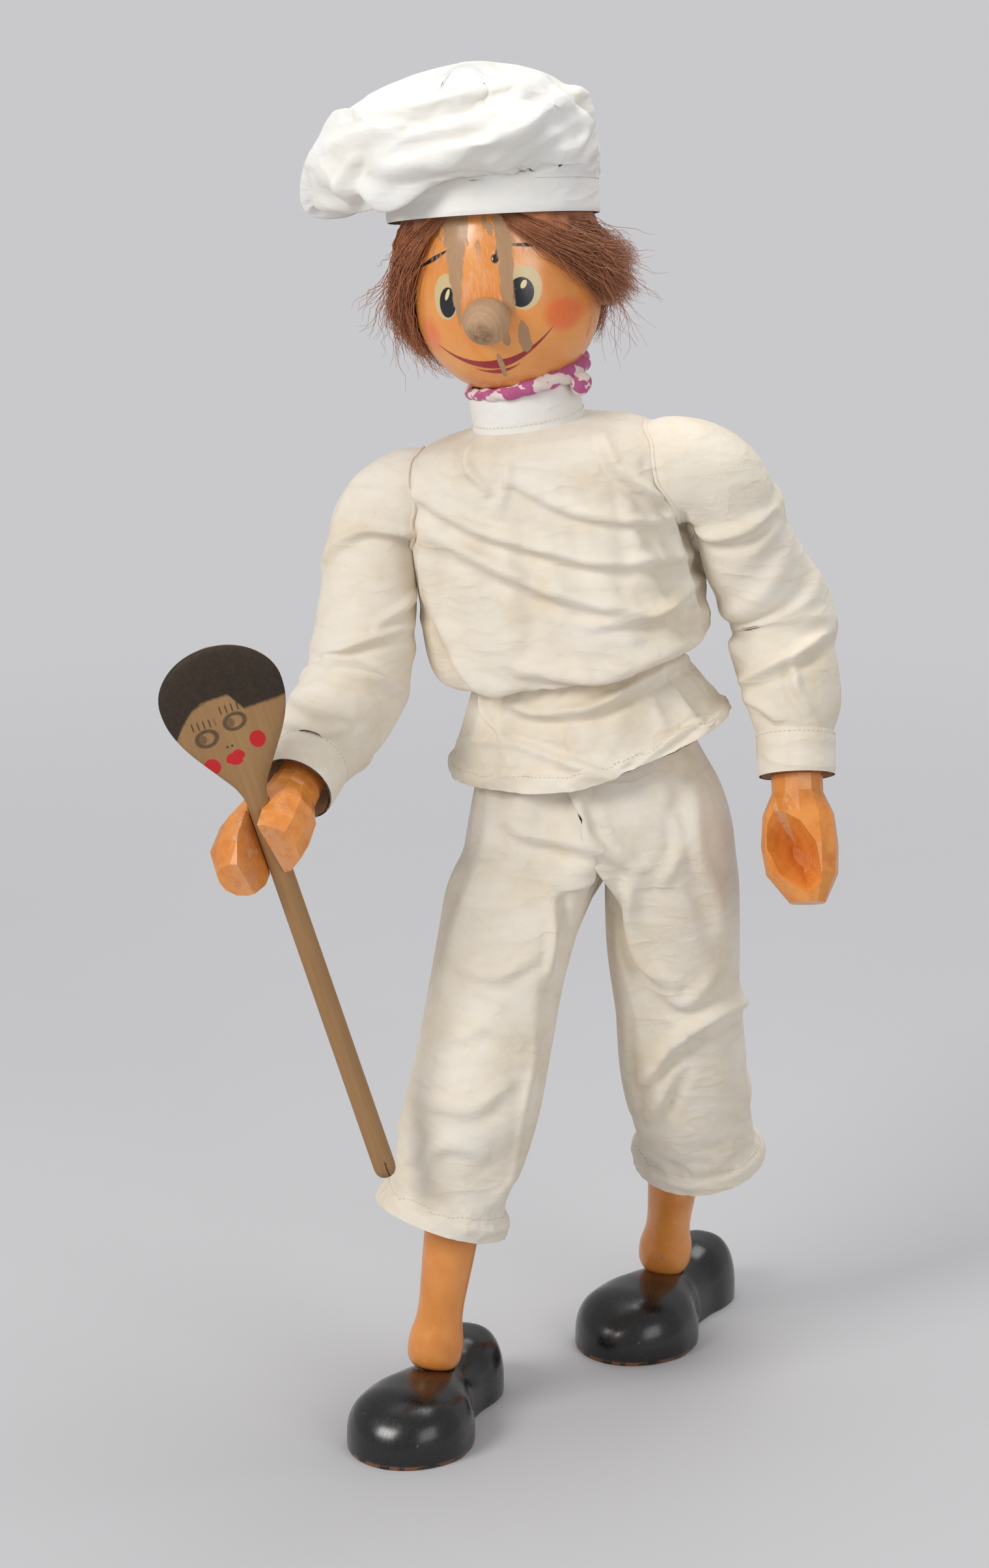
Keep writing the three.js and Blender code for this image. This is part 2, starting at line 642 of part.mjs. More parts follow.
function hatCrown() {
  const foot = oval(0, 0, HAT_BAND_HEIGHT + FIT, HAT_BAND_RADIUS, HAT_BAND_RADIUS, CROWN_POINTS)
    .map((point) => point.applyMatrix4(hatFrame));
  const top = HAT_CROWN_TOP;
  const [wide, deep] = [HAT_CROWN_HALF_WIDTH, HAT_CROWN_HALF_DEPTH];
  const rings = [
    foot,
    crownRing(top - 66, -15, 12, 0.865 * wide, 0.935 * deep, 0.2, 0.01),
    crownRing(top - 52, -26, 12, wide, deep, 0.24, 0.03),
    crownRing(top - 36, -26, 10, wide, deep, 0.2, 0.05),
    crownRing(top - 20, -22, 8, 0.865 * wide, 0.87 * deep, 0.12, 0.05),
    crownRing(top - 8, -18, 6, 0.615 * wide, 0.63 * deep, 0.08, 0.04),
    crownRing(top - 1, -12, 4, 0.29 * wide, 0.305 * deep, 0.04, 0.02),
  ];
  const inner = drawnIn(rings, 2).slice(0, -1).map((ring, k) => {
    const sink = k < 3 ? 0 : 2.4;
    return ring.map((point) => point.clone().setZ(point.z - sink));
  });
  return cut(loft(rings), loft(carriedOn(inner, 2, 0)), hairMass(FIT));
}

addPiece(head, 'hat_band', hatBand(), whiteCloth);
addPiece(head, 'hat_crown', hatCrown(), whiteCloth);

// Neckerchief: a rolled cloth between collar and chin, knotted at the doll's left

const NECKERCHIEF_STEPS = 20;
const KNOT_TURN = 15 * DEGREE;

function underHead() {
  return ball(HEAD_RADIUS + 1.5, 20, 14).translate(0, 0, HEAD_CENTRE_HEIGHT);
}

// Rings along the rolled cloth; rollAt gives its radius round the neck and round the roll
function rollRings(rollAt) {
  const sides = 6;
  const height = COLLAR_TOP_HEIGHT + FIT + NECKERCHIEF_ROLL * Math.cos(Math.PI / sides);
  const rings = [];
  for (let i = 0; i < NECKERCHIEF_STEPS; i += 1) {
    const around = (2 * Math.PI * i) / NECKERCHIEF_STEPS;
    const out = new THREE.Vector3(Math.cos(around), Math.sin(around), 0);
    const ring = [];
    for (let k = 0; k < sides; k += 1) {
      const angle = (2 * Math.PI * k) / sides;
      const [wide, tall] = rollAt(around, angle);
      const point = out.clone().multiplyScalar(NECKERCHIEF_RADIUS + wide * Math.cos(angle));
      ring.push(point.setZ(height + tall * Math.sin(angle)));
    }
    rings.push(ring);
  }
  return rings;
}

function crumpledRoll(room) {
  return closedRoll(rollRings((around, angle) => {
    return [NECKERCHIEF_ROLL * (1 + 0.12 * Math.sin(6 * around + angle)) + room, NECKERCHIEF_ROLL + room];
  }));
}

// A roll whose last ring meets its first
function closedRoll(rings) {
  const count = rings[0].length;
  const total = rings.length;
  const vertices = rings.flat();
  const triangles = [];
  for (let k = 0; k < total; k += 1) {
    for (let i = 0; i < count; i += 1) {
      const a = k * count + i;
      const b = k * count + ((i + 1) % count);
      const [c, d] = [a, b].map((v) => (v + count) % (count * total));
      triangles.push(a, b, d, a, d, c);
    }
  }
  flipIfInsideOut(vertices, triangles);
  const geometry = new THREE.BufferGeometry().setFromPoints(vertices);
  geometry.setIndex(triangles);
  return geometry;
}

function neckerchiefKnot() {
  const reach = NECKERCHIEF_RADIUS + 10;
  const knot = ball(10, 12, 8).scale(0.9, 1.1, 1).translate(
    reach * Math.cos(KNOT_TURN), -reach * Math.sin(KNOT_TURN), COLLAR_TOP_HEIGHT - 2,
  );
  return cut(knot, crumpledRoll(FIT), underHead());
}

addPiece(trunk, 'neckerchief', cut(crumpledRoll(0), underHead()), pinkCloth);
addPiece(trunk, 'neckerchief_knot', neckerchiefKnot(), pinkCloth);

// Limb joints: a round eye on a flat tongue turns on a pin between two cheeks

const ARM_JOINT = { eye: 8, tongue: 8, pin: 3 };
const LEG_JOINT = { eye: 9, tongue: 10, pin: 3.5 };
const INWARD_ROOM = 4; // lets a limb lean a little inwards in its ball

// A tongue lying in the XZ plane, its eye at the origin and its foot below
function tongue(joint, length) {
  const eye = rodAlong(PIN_AXIS, joint.eye, -joint.tongue / 2, joint.tongue / 2, 12);
  const leaf = block(joint.eye * 2 - 1, joint.tongue, length, 0, 0, -length / 2);
  return join(eye, leaf);
}

function pinBore(joint, length = 60) {
  return boreAlong(PIN_AXIS, joint.pin, -length, length);
}

function jointPin(joint, cheekRadius) {
  const half = cheekRadius * 0.82;
  return rodAlong(PIN_AXIS, joint.pin, -half, half);
}

// The slot between the cheeks at the lower end of a limb, with its pin's bore
function forkSlot(joint, cheekRadius, twist, height) {
  const wide = joint.tongue + RUNNING;
  const tall = cheekRadius + joint.eye + RUNNING + 6;
  const slot = block(80, wide, tall, 0, 0, joint.eye + RUNNING - tall / 2);
  return join(slot, pinBore(joint)).rotateZ(twist).translate(0, 0, height);
}

// A ball on an axle that turns in the trunk; its slot lets the limb spread outwards
function socketBall(side, radius, joint, axleLength) {
  const axle = rodAlong(TRUNK_AXIS, AXLE_RADIUS, -side * axleLength, -side * (radius - 4));
  const inner = joint.eye + INWARD_ROOM;
  const reach = radius + 12;
  const slot = block(
    inner + reach, joint.tongue + RUNNING, inner + reach, (side * (reach - inner)) / 2, 0, (inner - reach) / 2,
  );
  return cut(join(ball(radius), axle), slot, pinBore(joint));
}

function roundEnd(radius, height, fromAngle, steps = 4) {
  const points = [];
  for (let i = 0; i <= steps; i += 1) {
    const angle = fromAngle + ((-Math.PI / 2 - fromAngle) * i) / steps;
    points.push([i === steps ? 0 : radius * Math.cos(angle), height + radius * Math.sin(angle)]);
  }
  return points;
}

// Upper arm or thigh: a tongue at the top, a fork at the bottom turned by twist
function upperBone({ length, radius, lowRadius, ballRadius, joint, twist }) {
  const top = ballRadius + 1.5;
  const body = turned([
    [0, -top], [radius * 0.7, -top], [radius, -top - 9], [radius, -length * 0.62],
    [lowRadius, -length + lowRadius * 0.7], ...roundEnd(lowRadius, -length, 0),
  ], 14);
  const whole = join(body, tongue(joint, top + 6));
  return cut(whole, pinBore(joint, 30), forkSlot(joint, lowRadius, twist, -length));
}

// Angle about a bone from its own pin to the pin of the next joint
function twistBetween(frame, hinge) {
  const local = hinge.clone().transformDirection(frame.clone().invert());
  return Math.atan2(-local.x, local.y);
}

// Arms

const forearms = {};
for (const [name, { side }] of Object.entries(STANCE)) {
  const { arm } = limbs[name];
  const spreadPin = trunkX.clone().cross(arm.upperWay).normalize();
  const ballFrame = new THREE.Matrix4()
    .makeBasis(trunkX, spreadPin, trunkX.clone().cross(spreadPin)).setPosition(arm.start);
  const upperFrame = boneFrame(arm.start, arm.upperWay, null, spreadPin);
  const lowerFrame = boneFrame(arm.middle, arm.lowerWay, null, arm.hinge);
  const shoulder = hang(trunk, ballFrame);
  const upperArm = hang(shoulder, upperFrame);
  const forearm = hang(upperArm, lowerFrame);
  const twist = twistBetween(upperFrame, arm.hinge);
  forearms[name] = forearm;

  addPiece(
    shoulder, `shoulder_ball_${name}`,
    socketBall(side, SHOULDER_BALL_RADIUS, ARM_JOINT, SHOULDER_HALF_WIDTH - 42), bareWood,
  );
  addPiece(shoulder, `shoulder_pin_${name}`, jointPin(ARM_JOINT, SHOULDER_BALL_RADIUS), steel);
  addPiece(upperArm, `upper_arm_${name}`, upperBone({
    length: UPPER_ARM_LENGTH,
    radius: UPPER_ARM_RADIUS,
    lowRadius: ELBOW_RADIUS,
    ballRadius: SHOULDER_BALL_RADIUS,
    joint: ARM_JOINT,
    twist,
  }), orangePaint);
  const elbowPin = jointPin(ARM_JOINT, ELBOW_RADIUS).rotateZ(twist).translate(0, 0, -UPPER_ARM_LENGTH);
  addPiece(upperArm, `elbow_pin_${name}`, elbowPin, steel);
  addPiece(forearm, `forearm_${name}`, forearmBone(), orangePaint);
}

function forearmBone() {
  const top = ELBOW_RADIUS + 1.5;
  const end = FOREARM_LENGTH - FIT;
  const body = turned([
    [0, -top], [8.5, -top], [FOREARM_RADIUS, -top - 12], [FOREARM_RADIUS, -end + 8],
    [WRIST_RADIUS - 1, -end], [0, -end],
  ], 16);
  const bore = boreAlong(SPINE, WRIST_PEG_RADIUS, -FOREARM_LENGTH - 2, -FOREARM_LENGTH + 26);
  return cut(join(body, tongue(ARM_JOINT, top + 6)), pinBore(ARM_JOINT, 30), bore);
}

// Hands, each turning at the wrist on a peg glued into the hand

const CAMERA_SIDE = new THREE.Vector3(Math.sin(14 * DEGREE), -Math.cos(14 * DEGREE), 0);
const handFrames = {};
const hands = {};

const spoonAcross = new THREE.Vector3(0, 0, 1).cross(CAMERA_SIDE);
const spoonAxis = new THREE.Vector3(0, 0, Math.cos(SPOON_TILT))
  .addScaledVector(spoonAcross, -Math.sin(SPOON_TILT));

handFrames.right = boneFrame(limbs.right.arm.end, limbs.right.arm.lowerWay, null, spoonAxis);
handFrames.left = boneFrame(limbs.left.arm.end, limbs.left.arm.lowerWay, null, CAMERA_SIDE.clone().negate());

for (const name of Object.keys(STANCE)) {
  hands[name] = hang(forearms[name], handFrames[name]);
}

const spoonFrame = new THREE.Matrix4()
  .makeBasis(spoonAxis.clone().cross(CAMERA_SIDE), CAMERA_SIDE.clone().negate(), spoonAxis)
  .setPosition(new THREE.Vector3(0, 0, -GRIP_FROM_WRIST).applyMatrix4(handFrames.right));
const spoonInHand = handFrames.right.clone().invert().multiply(spoonFrame);

function pegBore() {
  return boreAlong(SPINE, WRIST_PEG_RADIUS, -22, 5);
}

function rightHand() {
  const thick = HAND_THICKNESS / 2;
  const wide = FIST_WIDTH / 2;
  const fist = loft([
    oval(0, 0, 0, WRIST_RADIUS, WRIST_RADIUS, 12),
    oval(0, 0, -10, WRIST_RADIUS, WRIST_RADIUS, 12),
    oval(1, 0, -28, wide * 0.82, thick + 2, 12, 2.5),
    oval(3, 0, -50, wide, thick + 3, 12, 2.6),
    oval(6, -4, -70, wide * 0.95, thick + 2, 12, 2.6),
    oval(12, -8, -HAND_LENGTH + 5, wide * 0.5, thick * 0.7, 12, 2.4),
  ]);
  const bore = rod(SPOON_HANDLE_RADIUS + 2 * FIT, -80, 80, 14).applyMatrix4(spoonInHand);
  const mouthWidth = SPOON_HANDLE_RADIUS * 1.7;
  const mouth = block(mouthWidth, 90, 70, 0, 0, -GRIP_FROM_WRIST - 35);
  const thumbEnd = block(60, 90, 60, -30 - mouthWidth / 2 + 1, 0, -GRIP_FROM_WRIST - 14 - 30);
  return cut(fist, bore, mouth, thumbEnd, pegBore());
}

// The hollow between thumb and fingers, as eight corners round its mouth and a small floor
function leftHand() {
  const thick = HAND_THICKNESS / 2;
  const wide = HAND_WIDTH / 2;
  const mitten = loft([
    oval(0, 0, 0, WRIST_RADIUS, WRIST_RADIUS, 12),
    oval(0, 0, -12, WRIST_RADIUS, WRIST_RADIUS, 12),
    oval(0, -1, -28, wide, thick, 12, 2.4),
    oval(0, -3, -50, wide + 2, thick + 2, 12, 2.5),
    oval(1, -4, -70, wide, thick, 12, 2.4),
    oval(4, -5, -HAND_LENGTH, wide * 0.5, thick * 0.6, 12, 2.4),
  ]);
  const mouthCorners = [
    [-24, -16], [0, -33], [11, -50], [15, -78], [4, -88], [-16, -74], [-30, -52], [-32, -26],
  ];
  const ringAt = (y, shrink) => mouthCorners.map(([x, z]) => {
    return new THREE.Vector3(2 + (x - 2) * shrink, y, -57 + (z + 57) * shrink);
  });
  const hollow = loft([ringAt(-40, 1.25), ringAt(-20, 0.92), ringAt(5, 0.2)]);
  return cut(mitten, hollow, pegBore());
}

function wristPeg() {
  return rod(WRIST_PEG_RADIUS, -22 + FIT, 26 - FIT);
}

addPiece(hands.right, 'hand_right', rightHand(), orangePaint);
addPiece(hands.left, 'hand_left', leftHand(), orangePaint);
addPiece(hands.right, 'wrist_peg_right', wristPeg(), bareWood);
addPiece(hands.left, 'wrist_peg_left', wristPeg(), bareWood);

// Spoon, sliding through the right hand's grip; its bowl's back faces forwards

function spoonShape() {
  const neckWidth = SPOON_HANDLE_RADIUS;
  const half = SPOON_BOWL_WIDTH / 2;
  const bowlStart = SPOON_ABOVE_GRIP - SPOON_BOWL_LENGTH;
  const rows = [
    [-SPOON_BELOW_GRIP, 0.5, 0.5], [-SPOON_BELOW_GRIP + 3, 0.85, 0.85],
    [-SPOON_BELOW_GRIP + 8, 1, 1], [bowlStart, 1, 1],
  ];
  const rings = rows.map(([z, x, y]) => oval(0, 0, z, x * neckWidth, y * neckWidth, 14));
  const bowl = [[0.1, 0.24, 7.4], [0.3, 0.52, 7], [0.5, 0.82, 6.6], [0.68, 1, 6.4], [0.82, 0.9, 6], [0.93, 0.6, 5]];
  for (const [share, width, depth] of bowl) {
    rings.push(oval(0, 0, bowlStart + share * SPOON_BOWL_LENGTH, half * width, depth, 14, 2.2));
  }
  rings.push(oval(0, 0, SPOON_ABOVE_GRIP, half * 0.2, 3, 14));
  const scoop = ball(1, 12, 8).scale(half - 6, 5, SPOON_BOWL_LENGTH * 0.3)
    .translate(0, 6.4, bowlStart + 0.62 * SPOON_BOWL_LENGTH);
  return cut(loft(rings), scoop);
}

const spoon = hang(hands.right, spoonFrame);
addPiece(spoon, 'wooden_spoon', spoonShape(), bareWood);

// Legs

const ankleSlotTurn = 26 * DEGREE;

function shinBone(footInShin) {
  const top = KNEE_RADIUS + 3;
  const end = -SHIN_LENGTH;
  const neckAngle = Math.acos(SHIN_NECK_RADIUS / ANKLE_BALL_RADIUS);
  const body = turned([
    [0, -top], [11, -top], [SHIN_RADIUS, -top - 14], [SHIN_RADIUS, end + HEM_ABOVE_ANKLE],
    [SHIN_NECK_RADIUS + 1.5, end + 42], [SHIN_NECK_RADIUS, end + 24],
    ...roundEnd(ANKLE_BALL_RADIUS, end, neckAngle, 5),
  ], 14);
  const slotOutline = new THREE.Shape();
  const half = TANG_WIDTH / 2 + RUNNING;
  const deep = ANKLE_BALL_RADIUS + 3;
  slotOutline.moveTo(-half - 1, 8);
  slotOutline.lineTo(-half - deep * Math.tan(ankleSlotTurn) * 0.8, -deep);
  slotOutline.lineTo(half + deep * Math.tan(ankleSlotTurn) * 0.8, -deep);
  slotOutline.lineTo(half + 1, 8);
  slotOutline.closePath();
  const slotWidth = TANG_THICKNESS + 2 * FIT;
  const slot = new THREE.ExtrudeGeometry(slotOutline, { depth: slotWidth, bevelEnabled: false })
    .translate(0, 0, -slotWidth / 2).applyMatrix4(
      new THREE.Matrix4().makeBasis(
        new THREE.Vector3(0, 1, 0), new THREE.Vector3(0, 0, 1), new THREE.Vector3(1, 0, 0),
      ),
    );
  const cross = boreAlong(TRUNK_AXIS, PIN_RADIUS, -40, 40);
  const anklePocket = join(slot, cross).applyMatrix4(footInShin);
  return cut(join(body, tongue(LEG_JOINT, top + 6)), pinBore(LEG_JOINT, 30), anklePocket);
}

// One slice across the shoe, flat at the sole
function shoeSlice(y, halfWidth, height) {
  const floor = -ANKLE_HEIGHT;
  const points = [
    new THREE.Vector3(0.9 * halfWidth, y, floor), new THREE.Vector3(halfWidth, y, floor + 0.16 * height),
  ];
  const arc = 7;
  for (let i = 1; i < arc; i += 1) {
    const angle = (Math.PI * i) / arc;
    const x = halfWidth * Math.sign(Math.cos(angle)) * Math.abs(Math.cos(angle)) ** 0.75;
    points.push(new THREE.Vector3(x, y, floor + height * (0.16 + 0.84 * Math.sin(angle) ** 0.8)));
  }
  points.push(new THREE.Vector3(-halfWidth, y, floor + 0.16 * height));
  points.push(new THREE.Vector3(-0.9 * halfWidth, y, floor));
  return points;
}

function shoe() {
  const toe = HEEL_BEHIND_ANKLE - SHOE_LENGTH;
  const heelShare = SHOE_HEEL_WIDTH / SHOE_WIDTH;
  const slices = [
    [0.015, 0.22, 0.4], [0.05, 0.55, 0.68], [0.12, 0.84, 0.9], [0.24, 1, 1], [0.36, 0.96, 1],
    [0.46, 0.77, 0.98], [0.57, 0.6, 0.95], [0.67, heelShare * 0.9, 0.98], [0.78, heelShare, 1.1],
    [0.88, heelShare * 0.93, 1.1], [0.95, heelShare * 0.72, 0.95], [0.99, heelShare * 0.35, 0.6],
  ];
  const last = loft(slices.map(([share, width, height]) => {
    return shoeSlice(toe + share * SHOE_LENGTH, (width * SHOE_WIDTH) / 2, height * SHOE_HEIGHT);
  }));
  const tangSlot = block(
    TANG_THICKNESS + 2 * FIT, TANG_WIDTH + 2 * FIT, TANG_DEPTH + ANKLE_HEIGHT - SHOE_HEIGHT + FIT + 20,
    0, 0, (-TANG_DEPTH - ANKLE_HEIGHT + SHOE_HEIGHT - FIT + 20) / 2,
  );
  return cut(last, ball(ANKLE_BALL_RADIUS + 1, 16, 10), tangSlot);
}

function ankleTang() {
  const foot = -TANG_DEPTH - ANKLE_HEIGHT + SHOE_HEIGHT;
  const plate = block(TANG_THICKNESS, TANG_WIDTH, -foot, 0, 0, foot / 2);
  const eye = rodAlong(TRUNK_AXIS, TANG_WIDTH / 2, -TANG_THICKNESS / 2, TANG_THICKNESS / 2, 14);
  return cut(join(plate, eye), boreAlong(TRUNK_AXIS, PIN_RADIUS, -10, 10));
}

for (const [name, { side, toeTurn }] of Object.entries(STANCE)) {
  const { leg } = limbs[name];
  const spreadPin = trunkX.clone().cross(leg.upperWay).normalize();
  const ballFrame = new THREE.Matrix4()
    .makeBasis(trunkX, spreadPin, trunkX.clone().cross(spreadPin)).setPosition(leg.start);
  const thighFrame = boneFrame(leg.start, leg.upperWay, null, spreadPin);
  const shinFrame = boneFrame(leg.middle, leg.lowerWay, null, leg.hinge);
  const footFrame = new THREE.Matrix4().makeRotationZ(toeTurn).setPosition(leg.end);
  const hip = hang(trunk, ballFrame);
  const thigh = hang(hip, thighFrame);
  const shin = hang(thigh, shinFrame);
  const foot = hang(shin, footFrame);
  const twist = twistBetween(thighFrame, leg.hinge);

  addPiece(
    hip, `hip_ball_${name}`,
    socketBall(side, HIP_BALL_RADIUS, LEG_JOINT, HIP_SPACING / 2 - 4), bareWood,
  );
  addPiece(hip, `hip_pin_${name}`, jointPin(LEG_JOINT, HIP_BALL_RADIUS), steel);
  addPiece(thigh, `thigh_${name}`, upperBone({
    length: THIGH_LENGTH,
    radius: THIGH_RADIUS,
    lowRadius: KNEE_RADIUS,
    ballRadius: HIP_BALL_RADIUS,
    joint: LEG_JOINT,
    twist,
  }), orangePaint);
  const kneePin = jointPin(LEG_JOINT, KNEE_RADIUS).rotateZ(twist).translate(0, 0, -THIGH_LENGTH);
  addPiece(thigh, `knee_pin_${name}`, kneePin, steel);
  addPiece(shin, `shin_${name}`, shinBone(shinFrame.clone().invert().multiply(footFrame)), orangePaint);
  const crossPin = rodAlong(TRUNK_AXIS, PIN_RADIUS, -ANKLE_BALL_RADIUS * 0.85, ANKLE_BALL_RADIUS * 0.85);
  addPiece(foot, `ankle_tang_${name}`, ankleTang(), steel);
  addPiece(foot, `ankle_pin_${name}`, crossPin, steel);
  addPiece(foot, `shoe_${name}`, shoe(), blackPaint);
}

// Clothes

const RING_POINTS = 17;

// Points round a tube, with soft folds that wind along it
function tubeRing(centre, along, across, halfAcross, halfDeep, folds, phase) {
  const x = across.clone().addScaledVector(along, -across.dot(along)).normalize();
  const y = along.clone().cross(x);
  const ring = [];
  for (let i = 0; i < RING_POINTS; i += 1) {
    const angle = (2 * Math.PI * i) / RING_POINTS;
    const fold = 1 + folds * Math.sin(3 * angle + phase) + 0.5 * folds * Math.sin(5 * angle - 1.7 * phase);
    ring.push(
      centre.clone()
        .addScaledVector(x, halfAcross * fold * Math.cos(angle))
        .addScaledVector(y, halfDeep * fold * Math.sin(angle)),
    );
  }
  return ring;
}

function jacketBody() {
  const shell = clothTube(jacketRings());
  const holes = [-1, 1].map((side) => {
    return rodAlong(TRUNK_AXIS, 1, side > 0 ? 62 : -130, side > 0 ? 130 : -62, RING_POINTS)
      .scale(1, ARMHOLE_RADIUS - 1, ARMHOLE_RADIUS).translate(JACKET_SHIFT, 0, ARMHOLE_HEIGHT);
  });
  return cut(shell, ...holes);
}

function halfDepthAt(height) {
  const below = JACKET_ROWS.findIndex(([rowHeight]) => rowHeight <= height);
  const [lowHeight, , lowDepth] = JACKET_ROWS[below];
  const [highHeight, , highDepth] = JACKET_ROWS[below - 1];
  return lowDepth + ((highDepth - lowDepth) * (height - lowHeight)) / (highHeight - lowHeight);
}

// A button standing against the back of the jacket, its inner side shaped to the cloth
function backButton(height, body) {
  const depth = halfDepthAt(height);
  const disc = rodAlong(PIN_AXIS, BUTTON_RADIUS, depth - 4, depth + 5, 12).translate(0, 0, height);
  return cut(disc, body);
}

function collar() {
  const rings = [0, COLLAR_HEIGHT].map((rise) => {
    return oval(0, 0, COLLAR_BASE_HEIGHT + rise, COLLAR_RADIUS, COLLAR_RADIUS - 2, 24);
  });
  const opening = block(2, 20, 80, 0, COLLAR_RADIUS, COLLAR_BASE_HEIGHT);
  return cut(clothTube(rings, 2.2), opening);
}

function jacketSkirt() {
  const waist = JACKET_WAIST_HEIGHT - WAIST_TIE_RADIUS;
  const fall = waist - SKIRT_HEM_HEIGHT;
  const rows = [
    [0, WAIST_TIE_HALF_WIDTH, WAIST_TIE_HALF_DEPTH, 0], [0.126, SKIRT_HALF_WIDTH - 24, 60, 0.02],
    [0.43, SKIRT_HALF_WIDTH - 14, 67, 0.03], [0.718, SKIRT_HALF_WIDTH - 8, 72, 0.03],
    [0.93, SKIRT_HALF_WIDTH, 76, 0.025], [1, SKIRT_HALF_WIDTH, 76, 0.025],
  ];
  const rings = rows.map(([sagShare, halfWidth, halfDepth, folds], row) => {
    const height = waist - sagShare * fall;
    return oval(0, 0, height, halfWidth, halfDepth, 22, 2.1).map((point) => {
      const angle = Math.atan2(point.y, point.x);
      const fold = 1 + folds * Math.sin(5 * angle + row * 0.5);
      const sag = SKIRT_FRONT_SAG * sagShare * (1 - Math.sin(angle)) / 2;
      const shift = JACKET_SHIFT * (1 + 0.7 * sagShare);
      return new THREE.Vector3(point.x * fold + shift, point.y * fold, point.z - sag);
    });
  });
  return clothTube(rings);
}

function ringCord(height, halfX, halfY, radius) {
  const rings = [];
  for (let i = 0; i < 20; i += 1) {
    const around = (2 * Math.PI * i) / 20;
    const out = new THREE.Vector3(Math.cos(around), Math.sin(around), 0);
    const centre = new THREE.Vector3(halfX * out.x + JACKET_SHIFT, halfY * out.y, height);
    const ring = [];
    for (let k = 0; k < 6; k += 1) {
      const angle = (2 * Math.PI * k) / 6;
      const point = centre.clone().addScaledVector(out, radius * Math.cos(angle));
      ring.push(point.setZ(height + radius * Math.sin(angle)));
    }
    rings.push(ring);
  }
  return closedRoll(rings);
}

// Sleeve: fans out round the armpit, then follows the arm down to its cuff
function sleeve(name) {
  const { side } = STANCE[name];
  const { arm } = limbs[name];
  const out = trunkX.clone().multiplyScalar(side);
  const way = arm.upperWay;
  const start = inDoll(side * (ARMHOLE_HALF_WIDTH + RUNNING) + JACKET_SHIFT, 0, ARMHOLE_HEIGHT);
  const turnAxis = out.clone().cross(way).normalize();
  const inward = way.clone().addScaledVector(out, -way.dot(out)).normalize();
  const pivot = start.clone().addScaledVector(inward, ARMHOLE_RADIUS);
  const fullTurn = out.angleTo(way);
  const fan = 4;
  const seam = start.clone().addScaledVector(out, -SEAM_REACH);
  const rings = [tubeRing(seam, out, turnAxis, ARMHOLE_RADIUS, ARMHOLE_RADIUS, 0, 0)];
  for (let k = 0; k <= fan; k += 1) {
    const turn = (fullTurn * k) / fan;
    const along = out.clone().applyAxisAngle(turnAxis, turn);
    const inside = inward.clone().applyAxisAngle(turnAxis, turn);
    const centre = pivot.clone().addScaledVector(inside, -ARMHOLE_RADIUS - 0.5 * k);
    rings.push(tubeRing(centre, along, turnAxis, ARMHOLE_RADIUS, ARMHOLE_RADIUS, 0, 0));
  }
  const lastCentre = centreOf(rings[fan + 1]);
  const down = lastCentre.clone().sub(arm.start).dot(way);
  const aside = lastCentre.clone().sub(arm.start).addScaledVector(way, -down);
  const cuffTop = FOREARM_LENGTH - CUFF_LENGTH - FIT;
  const stations = [
    [down + 20, 0.65, 0.96, 0.02], [down + 40, 0.4, 1, 0.04], [UPPER_ARM_LENGTH - 24, 0.15, 1.04, 0.05],
    [UPPER_ARM_LENGTH, 0.05, 1.05, 0.05],
  ];
  for (const [distance, offset, width, folds] of stations) {
    const centre = arm.start.clone().addScaledVector(way, distance).addScaledVector(aside, offset);
    const along = distance < UPPER_ARM_LENGTH ? way : way.clone().add(arm.lowerWay).normalize();
    rings.push(tubeRing(centre, along, turnAxis, SLEEVE_RADIUS * width, SLEEVE_RADIUS * width, folds, distance / 13));
  }
  const lower = [[24, 1.04, 0.05], [46, 0.96, 0.05], [66, 0.82, 0.04], [cuffTop - 6, 0.72, 0.05], [cuffTop, 0.67, 0.02]];
  for (const [distance, width, folds] of lower) {
    const centre = arm.middle.clone().addScaledVector(arm.lowerWay, distance);
    rings.push(tubeRing(
      centre, arm.lowerWay, turnAxis, SLEEVE_RADIUS * width, SLEEVE_RADIUS * width, folds, distance / 13,
    ));
  }
  return cut(clothTube(rings).applyMatrix4(toTrunk), jacketWithRoom);
}

function cuff() {
  const rings = [-FOREARM_LENGTH + CUFF_LENGTH, -FOREARM_LENGTH].map((height) => {
    return oval(0, 0, height, CUFF_RADIUS, CUFF_RADIUS, 18);
  });
  return clothTube(rings, 2.2);
}

// Trousers: each half has its side of the seat, open at the centre seam, and one leg
const SEAT_ROWS = [
  [101, 50.9, 43], [80, 70, 53], [50, 84, 60], [30, 90, 65], [8, 98, 69], [-14, 103, 70], [-38, 101, 62],
];

